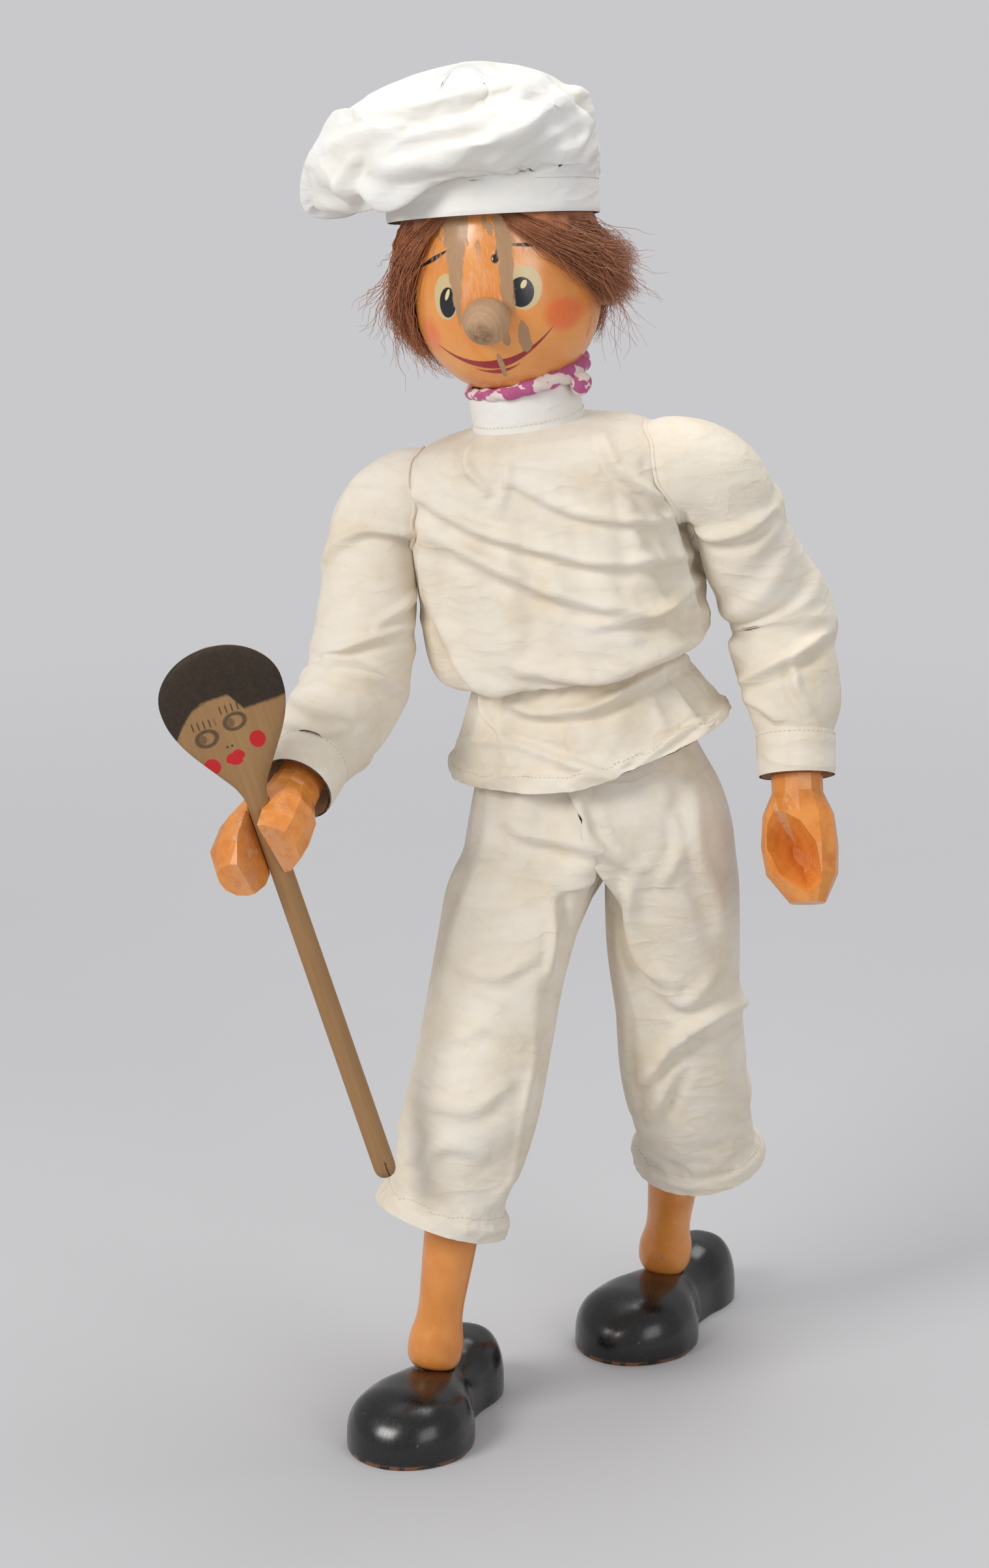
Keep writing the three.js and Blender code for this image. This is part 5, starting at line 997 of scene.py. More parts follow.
class Repeat:
    """A Geometry Nodes tree with named inputs, whose result is kept as a plain mesh."""

    def __init__(self, name, **inputs):
        self.tree, self.inputs = bpy.data.node_groups.new(name, "GeometryNodeTree"), inputs
        face = self.tree.interface
        face.new_socket("Line", in_out="INPUT", socket_type="NodeSocketGeometry")
        for key, value in inputs.items():
            kind = {int: "Int", float: "Float"}.get(type(value), "Material")
            face.new_socket(key, in_out="INPUT", socket_type="NodeSocket" + kind)
        face.new_socket("Geometry", in_out="OUTPUT", socket_type="NodeSocketGeometry")
        self.given = self.tree.nodes.new("NodeGroupInput").outputs

    def node(self, kind, settings=None, sockets=None, out=0):
        made = self.tree.nodes.new(kind)
        for name, value in (settings or {}).items():
            setattr(made, name, value)
        for name, value in (sockets or {}).items():
            if isinstance(value, bpy.types.NodeSocket):
                self.tree.links.new(value, made.inputs[name])
            else:
                made.inputs[name].default_value = value
        return made.outputs[out]

    def work(self, geometry, line, name):
        """Runs the tree on lines of points, each a strip of places in metres, and keeps its mesh."""
        whole = self.node("GeometryNodeRealizeInstances", {}, {"Geometry": geometry})
        painted = self.node("GeometryNodeSetMaterial", {},
                            {"Geometry": whole, "Material": self.given["Material"]})
        self.node("NodeGroupOutput", {}, {"Geometry": painted}, out=slice(0, 0))
        base = bpy.data.meshes.new(name)
        starts = np.cumsum([0] + [len(strip) for strip in line])
        base.from_pydata(
            [tuple(p) for strip in line for p in strip],
            [(s + i, s + i + 1) for s, strip in zip(starts, line) for i in range(len(strip) - 1)], [])
        piece = placed(name, base)
        worker = piece.modifiers.new("repeat", "NODES")
        worker.node_group = self.tree
        for item in self.tree.interface.items_tree:
            if item.in_out == "INPUT" and item.name in self.inputs:
                worker[item.identifier] = self.inputs[item.name]
        bpy.context.view_layer.update()
        applied(piece)
        piece.data.name = name
        return piece


def face_of(piece):
    """The piece's faces, in which the nearest to a place can be found."""
    return BVHTree.FromPolygons([v.co for v in piece.data.vertices],
                                [f.vertices for f in piece.data.polygons])


def closed(line):
    return np.concatenate([line, line[:1]])


def stitches(name, line, on, thread):
    """A row of thread stitches along a line of places, laid on the face of the piece given."""
    tree, laid = face_of(on), []
    for place in line:
        where, way, _, _ = tree.find_nearest(Vector(place))
        laid.append(where + way * 0.00025)
    row = Repeat(name, Pitch=0.0034, Thickness=0.00042, Length=0.0011, Material=thread.made)
    curve = row.node("GeometryNodeMeshToCurve", {}, {"Mesh": row.given["Line"]})
    dots = row.node("GeometryNodeCurveToPoints", {"mode": "LENGTH"},
                    {"Curve": curve, "Length": row.given["Pitch"]})
    bead = row.node("GeometryNodeMeshIcoSphere", {}, {"Radius": 1.0, "Subdivisions": 1})
    size = row.node("ShaderNodeCombineXYZ", {}, {
        "X": row.given["Thickness"], "Y": row.given["Thickness"], "Z": row.given["Length"]})
    sewn = row.node("GeometryNodeInstanceOnPoints", {}, {
        "Points": dots, "Instance": bead, "Rotation": dots.node.outputs["Rotation"], "Scale": size})
    made = row.work(sewn, [laid], name)
    made.data.shade_smooth()
    return made


cream = cotton("cream_cloth", (0.845, 0.785, 0.69), (0.69, 0.56, 0.37), 0.9)
thread = cotton("sewing_thread", (0.74, 0.68, 0.55), (0.6, 0.5, 0.35), 0.3)
SEAT_ROWS = [(101, 51, 43), (80, 70, 53), (50, 84, 60), (30, 91, 65), (8, 99, 69), (-14, 103, 70),
             (-38, 101, 62)]
TROUSER_RADIUS, HEM_BELOW_KNEE, HEM_RISE, SEAM_LAP = 47, 107, 16, 2.0
OUTSIDE, INSIDE, KNEE_STATION, CROTCH_STATION = 60, 28, 195, 8
TROUSER_CUTS, HEM_ASIDE = (-200, 6, 60, 400), {"right": 9, "left": 17}


def round_ring(centre, x, y, angles, half):
    """A ring of points in the plane of x and y, half millimetres from its centre."""
    return centre + (np.cos(angles)[:, None] * x + np.sin(angles)[:, None] * y) * half / 1000


def seat_ring(way, height, half_x, half_y):
    angle = np.linspace(-math.pi / 2, math.pi / 2, OUTSIDE)
    cos, sin = np.cos(angle), np.sin(angle)
    reach = (np.abs(cos)**2.5 + np.abs(sin)**2.5) ** (-1 / 2.5)
    outer = np.stack([way * (half_x * reach * cos - SEAM_LAP), half_y * reach * sin,
                      np.full(OUTSIDE, float(height))], 1)
    back = np.linspace(1, -1, INSIDE + 2)[1:-1]
    inner = np.stack([np.full(INSIDE, way * -SEAM_LAP), half_y * back, np.full(INSIDE, float(height))], 1)
    return trunk.out(np.concatenate([outer, inner]))


def leg_ring(way, centre, along, half):
    turns = np.concatenate([np.linspace(-120, 120, OUTSIDE), np.linspace(120, 240, INSIDE + 2)[1:-1]])
    turns = turns * math.pi / 180
    angles = turns if way > 0 else math.pi - turns
    x = unit(trunk.across - (trunk.across @ along) * along)
    return round_ring(centre, x, -np.cross(along, x), angles, half)


def trouser_rings(side):
    """Key rings from the waist to the hem, and their stations: mm below the hip, along the leg."""
    way = OUTWARD[side]
    keys, stations = [seat_ring(way, *row) for row in SEAT_ROWS[:5]], [-row[0] for row in SEAT_ROWS[:5]]
    for distance, wide, outer_share, inner_share, row in [
            (22, 1.06, 0.35, 0.0, 5), (44, 1.08, 0.85, 0.22, 6), (66, 1.08, 1, 0.85, 6),
            (100, 1.04, 1, 1, 6),
            (155, 0.99, 1, 1, 6)]:
        centre = hip[side] + thigh_way[side] * distance / 1000
        tube = leg_ring(way, centre, thigh_way[side], TROUSER_RADIUS * wide)
        share = np.full((OUTSIDE + INSIDE, 1), float(outer_share))
        share[OUTSIDE:] = inner_share
        edge = np.minimum(np.arange(OUTSIDE), np.arange(OUTSIDE)[::-1])[:, None]
        share[:OUTSIDE] += (inner_share - outer_share) * np.clip(1 - edge / 7, 0, 1)
        keys.append(share * tube + (1 - share) * seat_ring(way, *SEAT_ROWS[row]))
        stations.append(distance)
    knee = point("knee_" + side)
    for distance, wide in [(8, 1.0), (52, 1.0), (100, 1.01), (HEM_BELOW_KNEE, 1.02)]:
        aside = way * HEM_ASIDE[side] * distance / HEM_BELOW_KNEE / 1000
        centre = knee + shin_way[side] * distance / 1000 + np.array([aside, 0, 0])
        along = unit(thigh_way[side] + shin_way[side]) if distance < 10 else shin_way[side]
        ring = leg_ring(way, centre, along, TROUSER_RADIUS * wide)
        outward = way * (ring - centre) @ trunk.across / (TROUSER_RADIUS * wide / 1000)
        lifted = HEM_RISE * (1 + outward) * distance / (2 * HEM_BELOW_KNEE) / 1000
        keys.append(ring - lifted[:, None] * shin_way[side])
        stations.append(KNEE_STATION + distance)
    return [drawn_over(ring) for ring in keys], stations


def drawn_over(ring):
    """Pulls the front seam towards the doll's left above the crotch, as cloth hangs from a bent leg."""
    own = trunk.into(ring)
    low = np.clip((62 - own[:, 2]) / 92, 0, 1) ** 1.3 * np.clip((own[:, 2] + 84) / 44, 0, 1)
    own[:, 0] += 16 * low * np.exp(-(own[:, 0] / 46) ** 2) * np.clip(0.55 - own[:, 1] / 60, 0.15, 1)
    return trunk.out(own)


def evenly(keys, stations, count):
    """Rings flowing through the keys, and the station of each."""
    steps = np.linalg.norm(np.diff(np.array(keys).reshape(len(keys), -1), axis=0), axis=1)
    at = np.concatenate([[0.0], np.cumsum(steps)])
    return flowing(keys, count), np.interp(np.linspace(0, at[-1], count), at, stations)


thigh_way = {side: unit(point("knee_" + side) - hip[side]) for side in hip}
shin_way = {side: unit(point("ankle_" + side) - point("knee_" + side)) for side in hip}
trouser_cut = {"right": (0.094, 0.082, 0.259), "left": (0.09, 0.069, 0.254)}
trouser_creases = [(0.5, 0.3, 0.66, 0.4, 8, 5), (0.42, 0.5, 0.62, 0.56, 8, 5),
                   (0.36, 0.66, 0.6, 0.6, 9, 5), (0.3, 0.84, 0.56, 0.78, 9, 4)]
trouser_folds = {
    "seam": [
        ([(775, 1255), (810, 1280), (860, 1290), (920, 1305), (970, 1330)], 13, 7),
        ([(917, 1217), (935, 1280), (970, 1315), (985, 1330)], 8, 3),
        ([(985, 1335), (965, 1375), (975, 1440), (990, 1480), (1040, 1510)], 11, 7)],
    "right": [
        ([(840, 1500), (852, 1420), (850, 1370), (838, 1322)], 8, 9.5),
        ([(765, 1245), (740, 1325), (705, 1420), (680, 1510)], 14, 5.4),
        ([(700, 1240), (690, 1300), (695, 1360)], 10, 4.1),
        ([(690, 1600), (750, 1580), (800, 1600)], 10, 4.1),
        ([(650, 1690), (720, 1705), (775, 1670)], 12, 4.7),
        ([(640, 1780), (690, 1760), (740, 1775)], 12, 4.1),
        ([(700, 1480), (760, 1500), (820, 1470)], 11, 4.1),
        ([(780, 1860), (800, 1735), (825, 1610)], 5, 2.2)],
    "left": [
        ([(1040, 1260), (1045, 1305), (1020, 1350)], 10, 6.8),
        ([(1065, 1210), (1070, 1310), (1105, 1400), (1110, 1440)], 14, 6.8),
        ([(990, 1660), (1030, 1610), (1090, 1560), (1160, 1525), (1172, 1490)], 11, 12.2),
        ([(990, 1740), (1015, 1685), (1040, 1635)], 12, 5.4),
        ([(1000, 1500), (1050, 1540), (1110, 1480)], 12, 5.4),
        ([(990, 1740), (970, 1665), (965, 1635), (960, 1550)], 5, 2.7)],
}
for side in ("right", "left"):
    count, columns = 80, OUTSIDE + INSIDE
    rings, stations = evenly(*trouser_rings(side), count)
    calm = rings.copy()
    rings = creased(rings, trouser_creases)
    on_seam = (stations < 2 * CROTCH_STATION)[:, None] & (np.arange(columns) >= OUTSIDE - 2)[None, :]
    rings[on_seam], rings[:3] = calm[on_seam], calm[:3]
    garment = skinned("trousers_whole_" + side, rings, cream)
    lost = (stations < CROTCH_STATION)[:, None] & (np.arange(columns) >= OUTSIDE)[None, :]
    mark_stations(garment, np.where(lost, LOST, np.repeat(stations[:, None], columns, 1)))
    hold = np.full((count, columns), 0.03)
    hold[:2], hold[-2:] = 1.0, 0.4
    hold[on_seam] = 1.0
    settled(garment, 0.05, hold.ravel(), frames=20, fall=0.4, cap=8)
    opened(garment)
    folded(finer(garment), trouser_folds["seam"] + trouser_folds[side])
    names = [name + side for name in ("trouser_seat_", "trouser_hip_", "trouser_leg_")]
    parts = cut_apart(garment, names, TROUSER_CUTS)
    knee = point("knee_" + side)
    sewn = stitches("trouser_stitches_" + side, closed(rings[-4]), parts[2], thread)
    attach(sewn, "shin_" + side)
    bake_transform(parts[0], "torso", "hip_" + side,
             start=tuple(trunk.out((0, 0, 40))), end=tuple(trunk.out((0, 0, -1))))
    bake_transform(parts[1], "hip_" + side, "thigh_" + side,
             start=tuple(trunk.out((0, 0, -9))), end=tuple(trunk.out((0, 0, -31))))
    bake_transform(parts[2], "thigh_" + side, "shin_" + side,
             start=tuple(knee - thigh_way[side] * 0.05), end=tuple(knee + shin_way[side] * 0.05))
    for part, length in zip(parts, trouser_cut[side]):
        "thigh_" + side
    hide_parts("trousers_" + side)

# Jacket: a cream cotton body bloused over a waist tie, with a short skirt below it whose hem is turned
# and stitched. It closes down the back with four buttons.

WAIST, SKIRT_TOP, SKIRT_LENGTH = 108, 106.5, 56
JACKET_ROWS = [(281, 39.4, 37.4, 2), (277, 55, 44, 2.2), (271, 78, 50, 2.6), (257, 91, 55, 3),
               (232, 94, 59, 3.2), (200, 95, 62, 3), (165, 98, 67, 2.6), (138, 99, 69, 2.4),
               (118, 95, 67, 2.4), (108, 88, 62, 2.2), (104.5, 81, 58, 2.1), (106.5, 75, 55, 2),
               (110, 70.5, 53.5, 2)]
jacket_creases = [(0.02, 0.2, 0.2, 0.45, 9, 5), (0.98, 0.3, 0.8, 0.5, 9, 5),
                  (0.05, 0.5, 0.25, 0.75, 10, 5), (0.1, 0.6, 0.9, 0.72, 9, 4),
                  (0.9, 0.55, 0.75, 0.8, 9, 4)]
jacket_folds = [([(645, 760), (725, 810), (825, 840), (950, 865), (1075, 850)], 12, 8.8),
                ([(665, 820), (780, 880), (925, 930), (1082, 940)], 14, 8.8),
                ([(780, 735), (880, 785), (1000, 800), (1065, 780)], 10, 7),
                ([(925, 670), (940, 710), (1000, 760), (1060, 795)], 9, 7.9),
                ([(720, 685), (715, 710), (750, 755)], 7, 7),
                ([(780, 710), (772, 760), (760, 790)], 8, 6.1),
                ([(800, 1030), (900, 1040), (1000, 1010), (1082, 980)], 12, 8.8),
                ([(700, 1010), (740, 1050), (790, 1070)], 10, 8.8),
                ([(655, 800), (662, 900), (690, 980), (735, 1050)], 13, 7),
                ([(900, 960), (960, 955), (1030, 930), (1078, 885)], 10, 7),
                ([(634, 712), (642, 760), (648, 820), (650, 885)], 5, 5.3),
                ([(1050, 640), (1062, 690), (1072, 745), (1068, 800)], 5, 7)]
COLUMNS, count = 130, 70


def waist_rise(ring, share):
    """The cloth sits higher towards the doll's left."""
    return 9 * share * np.clip(ring[:, 0] / 90, 0, 1) ** 1.5


keys = []
for row, (z, wide, deep, square) in enumerate(JACKET_ROWS):
    ring = oval(0 if row < 3 else 4, 0, z, wide, deep, COLUMNS, square)
    ring[:, 2] += waist_rise(ring, np.clip((138 - z) / 30, 0, 1) if row < 11 else 0.5 * (row == 11))
    keys.append(ring)
rings = np.array([trunk.out(ring) for ring in flowing(keys, count)])
calm = rings.copy()
rings = creased(rings, jacket_creases)
rings[:4], rings[-5:] = calm[:4], calm[-5:]
jacket = skinned("jacket_shell", rings, cream)
hold = np.full((count, COLUMNS), 0.04)
hold[:18], hold[18:24], hold[-5:] = 1.0, 0.3, 1.0
settled(jacket, 0.06, hold.ravel(), frames=20, fall=0.35, cap=9)
folded(finer(jacket), jacket_folds)
jacket_face = face_of(jacket)
walled(jacket, COTTON)
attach(jacket, "torso")
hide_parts("jacket_body")

skirt_rows = [(0, 70.5, 53.5, 0), (0.12, 77, 60, 0.02), (0.4, 86, 66, 0.03), (0.7, 93, 72, 0.03),
              (0.8, 96, 74, 0.028), (0.83, 99.5, 76, 0.026), (0.94, 101.5, 77.5, 0.025),
              (1, 101.5, 77.5, 0.025)]
skirt_folds = [([(780, 1078), (820, 1095), (900, 1090), (980, 1050), (1055, 1010)], 10, 8.8),
               ([(740, 1065), (750, 1100), (770, 1130)], 6, 8.8),
               ([(1125, 1080), (1040, 1160), (970, 1197), (870, 1170), (780, 1140), (705, 1135)], 8, 5),
               ([(1085, 1100), (1000, 1160), (965, 1190)], 5, 5.3)]
keys = []
for row, (share, wide, deep, folds) in enumerate(skirt_rows):
    ring = oval(0, 0, SKIRT_TOP - SKIRT_LENGTH * share, wide, deep, COLUMNS, 2.1)
    angle = np.arctan2(ring[:, 1], ring[:, 0])
    fold = 1 + folds * np.sin(5 * angle + row * 0.5)
    height = ring[:, 2] - 16 * share * (1 - np.sin(angle)) / 2
    height = height + 17 * share * np.clip(np.cos(angle), 0, 1) ** 1.4
    ring = np.stack([ring[:, 0] * fold + 4 * (1 + 0.7 * share), ring[:, 1] * fold, height], 1)
    keys.append(ring)
count = 30
rings = np.array([trunk.out(ring) for ring in flowing(keys, count)])
skirt = skinned("jacket_tail", rings, cream)
hold = np.full((count, COLUMNS), 0.05)
hold[:2], hold[-2:] = 1.0, 0.3
settled(skirt, 0.05, hold.ravel(), frames=16, fall=0.3, cap=6)
walled(folded(finer(skirt), skirt_folds), HEMMED_COTTON)
hem = stitches("skirt_stitches", closed(rings[-5]), skirt, thread)
for piece in (skirt, hem):
    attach(piece, "torso")
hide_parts("jacket_skirt")


def tube_round(name, centres, radii, finish, sides=14, lumps=0.0, pole=trunk.up):
    """A closed cord or roll of cloth along a line of places, in metres, that goes round the pole."""
    centres = np.array(centres, float)
    ways = np.roll(centres, -1, 0) - np.roll(centres, 1, 0)
    rings = []
    for i, (centre, way) in enumerate(zip(centres, ways)):
        aside = unit(np.cross(way, pole))
        top = unit(np.cross(aside, way))
        angle = 2 * math.pi * np.arange(sides) / sides
        swell = radii[i] * (1 + lumps * np.sin(3 * angle + i * 0.9)) / 1000
        spoke = np.cos(angle)[:, None] * aside + np.sin(angle)[:, None] * top
        rings.append(centre + spoke * swell[:, None])
    cord = skinned(name, rings + rings[:1], finish)
    work = bmesh.new()
    work.from_mesh(cord.data)
    bmesh.ops.remove_doubles(work, verts=work.verts, dist=1e-6)
    bmesh.ops.recalc_face_normals(work, faces=work.faces)
    work.to_mesh(cord.data)
    work.free()
    return cord


white = cotton("white_cloth", (0.86, 0.85, 0.82), (0.78, 0.73, 0.62), 0.12)
tie_line = [trunk.out((4 + 70.5 * math.cos(a), 53.5 * math.sin(a), WAIST))
            for a in np.linspace(0, 2 * math.pi, 90)[:-1]]
tie = tube_round("waist_tie", tie_line, [2.3] * len(tie_line), white, lumps=0.08)
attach(tie, "torso")
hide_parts("waist_drawstring")


def polished_button():
    finish = Finish("button", IOR=1.5, Coat_Weight=0.4, Coat_Roughness=0.1)
    swirl = finish.noise(finish.spot(), 3.0, 4.0, 0.6)
    finish.set(Base_Color=finish.mix(swirl, (0.80, 0.77, 0.68), (0.66, 0.61, 0.5)),
               Roughness=swirl * 0.15 + 0.2)
    return finish.bump(swirl, 0.05)


button_finish = polished_button()
for i in range(4):
    low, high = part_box(f"back_button_{i + 1}")
    stand = Stand((np.array(low) + np.array(high)) / 2, trunk.up, across=trunk.across)
    deep = stand.into(np.array(high))[1]
    rows = [(-deep, 5.6), (-deep * 0.2, 5.9), (deep * 0.3, 6.0), (deep * 0.62, 5.6), (deep * 0.7, 4.8),
            (deep * 0.5, 4.2), (deep * 0.48, 2.5)]
    rings = [stand.out(oval(0, 0, 0, r, r, 32)[:, [0, 2, 1]] + (0, y, 0)) for y, r in rows]
    button = skinned(f"button_{i + 1}", rings, button_finish, ends=(True, True))
    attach(button, "torso")
    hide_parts(f"back_button_{i + 1}")

# Sleeves: set in at the armholes with a raised seam, full at the elbow and gathered into flat cuffs
# just above the hands.

ARMHOLE_RADIUS, ARMHOLE_X, ARMHOLE_HEIGHT, SLEEVE_RADIUS, SLEEVE_COLUMNS = 37, 97, 235, 35, 80
UPPER_ARM, FOREARM, CUFF_LENGTH = 130, 115, 32
SLEEVE_CUTS = (-50, 20, 72, 400)
sleeve_cut = {"right": (0.06, 0.043, 0.139), "left": (0.055, 0.044, 0.137)}
sleeve_creases = [(0.1, 0.3, 0.5, 0.4, 7, 4), (0.3, 0.46, 0.75, 0.54, 7, 4), (0.2, 0.58, 0.7, 0.64, 6, 4),
                  (0.6, 0.66, 0.1, 0.74, 6, 4), (0.4, 0.84, 0.95, 0.88, 5, 3)]
sleeve_folds = {
    "right": [
        ([(500, 855), (530, 830), (570, 815), (635, 820)], 8, 6.8),
        ([(500, 1005), (575, 980), (635, 960)], 8, 6.8),
        ([(510, 1030), (560, 1040), (620, 1060)], 8, 6.8), ([(575, 960), (625, 930), (645, 905)], 8, 5.4),
        ([(550, 730), (530, 775), (505, 840)], 10, 4.1), ([(440, 1060), (480, 1090), (540, 1100)], 10, 5.4),
        ([(440, 1112), (490, 1128), (530, 1120)], 8, 4)],
    "left": [
        ([(1065, 800), (1095, 825), (1150, 810), (1190, 780)], 10, 8.1),
        ([(1120, 1060), (1165, 1035), (1240, 995), (1275, 967)], 10, 9.5),
        ([(1100, 970), (1130, 995), (1125, 1015)], 8, 6.8),
        ([(1125, 1060), (1165, 1082), (1195, 1105)], 8, 6),
        ([(1220, 1010), (1220, 1045), (1245, 1090)], 8, 5)],
}


def arm_of(side):
    """An arm's shoulder, elbow and wrist, and its ways out, down the upper arm and down the forearm."""
    shoulder, elbow, wrist = (point(joint + side) for joint in ("shoulder_spread_", "elbow_", "wrist_"))
    out = trunk.across * OUTWARD[side]
    return shoulder, elbow, wrist, out, unit(elbow - shoulder), unit(wrist - elbow)


def turned_about(hinge, vector, angle):
    """The vector turned about the hinge, in radians."""
    return (vector * math.cos(angle) + np.cross(hinge, vector) * math.sin(angle)
            + hinge * (hinge @ vector) * (1 - math.cos(angle)))


def sleeve_rings(side):
    """Key rings from inside the armhole to the cuff, and their stations: mm below the shoulder."""
    shoulder, elbow, _, out, down, lower = arm_of(side)
    start = trunk.out((OUTWARD[side] * ARMHOLE_X + 4, 0, ARMHOLE_HEIGHT))
    hinge = unit(np.cross(out, down))
    inward = unit(down - (down @ out) * out)
    pivot = start + inward * ARMHOLE_RADIUS / 1000
    full = math.acos(np.clip(out @ down, -1, 1))

    def ring(centre, along, half):
        x = unit(hinge - (hinge @ along) * along)
        angles = 2 * math.pi * np.arange(SLEEVE_COLUMNS) / SLEEVE_COLUMNS
        return round_ring(centre, x, np.cross(along, x), angles, half)

    keys, stations = [ring(start - out * 0.024, out, ARMHOLE_RADIUS - 3)], [-24.0]
    for k in range(5):
        angle = full * k / 4
        half = ARMHOLE_RADIUS - 1.2 * k
        centre = pivot - turned_about(hinge, inward, angle) * half / 1000
        keys.append(ring(centre, turned_about(hinge, out, angle), half))
        stations.append(k * 6.0)
    reach = (keys[-1].mean(0) - shoulder) @ down * 1000
    aside = (keys[-1].mean(0) - shoulder) - down * reach / 1000
    inner = -8 if side == "left" else -2
    for distance, share, slack, wide in [
            (reach + 20, 0.75, 0.3, 0.95), (reach + 42, 0.5, 0.7, 0.99), (UPPER_ARM - 22, 0.3, 1, 1.03),
            (UPPER_ARM, 0.2, 1, 1.05)]:
        along = down if distance < UPPER_ARM else unit(down + lower)
        centre = shoulder + down * distance / 1000 + aside * share + out * inner * slack / 1000
        keys.append(ring(centre, along, SLEEVE_RADIUS * wide))
        stations.append(distance)
    top = FOREARM - CUFF_LENGTH
    for distance, slack, wide in [(24, 0.8, 1.05), (46, 0.4, 1.02), (66, 0, 0.93), (top - 5, 0, 0.84),
                                  (top, 0, 0.775), (top + 4, 0, 0.755)]:
        centre = elbow + lower * distance / 1000 + out * inner * slack / 1000
        keys.append(ring(centre, lower, SLEEVE_RADIUS * wide))
        stations.append(UPPER_ARM + distance)
    return keys, stations


for side in ("right", "left"):
    count = 70
    rings, stations = evenly(*sleeve_rings(side), count)
    calm = rings.copy()
    rings = creased(rings, sleeve_creases)
    rings[:6], rings[-2:] = calm[:6], calm[-2:]
    garment = skinned("sleeve_whole_" + side, rings, cream)
    mark_stations(garment, np.repeat(stations, SLEEVE_COLUMNS))
    seam_line = []
    for c in range(SLEEVE_COLUMNS):
        for place in rings[:, c]:
            where, way, _, _ = jacket_face.find_nearest(Vector(place))
            if (Vector(place) - where).dot(way) > 0:
                seam_line.append(place)
                break
    seam_line = np.array(seam_line)
    for _ in range(3):
        seam_line = (np.roll(seam_line, 1, 0) + seam_line * 2 + np.roll(seam_line, -1, 0)) / 4
    piping = tube_round("armhole_seam_" + side, seam_line, [1.5] * len(seam_line), cream, sides=10,
                        pole=trunk.across)
    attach(piping, "torso")
    hold = np.full((count, SLEEVE_COLUMNS), 0.03)
    hold[:6] = hold[-2:] = 1.0
    settled(garment, 0.07, hold.ravel(), frames=20, fall=0.4, cap=7)
    folded(finer(garment), sleeve_folds[side])
    parts = cut_apart(garment, [name + side for name in ("sleeve_top_", "sleeve_upper_", "sleeve_lower_")],
                      SLEEVE_CUTS)
    shoulder, elbow, _, out, down, lower = arm_of(side)
    middle = rings[np.argmin(abs(stations - SLEEVE_CUTS[1]))].mean(0)
    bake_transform(parts[0], "torso", "shoulder_" + side,
             start=tuple(middle - down * 0.044), end=tuple(middle - down * 0.009))
    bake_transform(parts[1], "shoulder_" + side, "upper_arm_" + side,
             start=tuple(middle + down * 0.008), end=tuple(shoulder + down * 0.062))
    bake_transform(parts[2], "upper_arm_" + side, "forearm_" + side,
             start=tuple(elbow - down * 0.045), end=tuple(elbow + lower * 0.04))
    for part, length in zip(parts, sleeve_cut[side]):
        "upper_arm_" + side
    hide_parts("sleeve_" + side)

    forearm = Stand(elbow, -lower, back=(0, 1, 0))
    top = CUFF_LENGTH - FOREARM
    rows = [(top + 0.5, 26.2), (top - 2, 27.2), (top - 18, 27.5), (3 - FOREARM, 27.2), (-FOREARM, 26.6)]
    rings = flowing([forearm.out(oval(0, 0, z, r, r, 72)) for z, r in rows], 14)
    cuff = skinned("cuff_band_" + side, rings, cream)
    walled(finer(cuff), STIFFENED_COTTON)
    edge_line = forearm.out(oval(0, 0, top - 4, 27.4, 27.4, 73))
    edge = stitches("cuff_stitches_" + side, closed(edge_line), cuff, thread)
    for piece in (cuff, edge):
        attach(piece, "forearm_" + side)
    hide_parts("cuff_" + side)
    "forearm_" + side

# Collar: a stiff white band standing round the neck, stitched below and open at the back.

collar_rows = [(278.5, 39.8, 37.8), (284, 39.2, 37.2), (296, 38.8, 36.8), (306, 38.4, 36.4),
               (308, 38.0, 36.0)]
rings = flowing([trunk.out(oval(0, 0, z, wide, deep, 96)) for z, wide, deep in collar_rows], 16)
rings = rings[:, 1:-1]
collar = skinned("collar_band", rings, white, round_way=False)
walled(finer(collar), STIFFENED_COTTON)
seam = stitches("collar_stitches", trunk.out(oval(0, 0, 285.5, 39.3, 37.3, 120))[2:-2], collar, thread)
for piece in (collar, seam):
    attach(piece, "torso")
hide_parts("jacket_collar")

# Neckerchief: a printed pink and cream square rolled into a cord round the neck, above the collar,
# and knotted at the doll's left.


def printed_pink():
    finish = Finish("pink_cloth", Sheen_Weight=0.2, Specular_IOR_Level=0.2)
    place = finish.spot()
    blots = finish.noise(place, 13.0, 2.0, 0.5, stretch=(1, 1, 1.3))
    colour = finish.mix(blots.rise(0.47, 0.5), (0.80, 0.70, 0.64), (0.45, 0.05, 0.22))
    faded = finish.noise(place, 6.0, 4.0, 0.6, seed=4.0)
    finish.set(Base_Color=finish.mix(faded * 0.25, colour, (0.7, 0.5, 0.48)), Roughness=faded * 0.1 + 0.8)
    return finish.bump(finish.noise(place, 0.8, 2.0, 0.6) * 0.5 + faded * 0.6, 0.5)


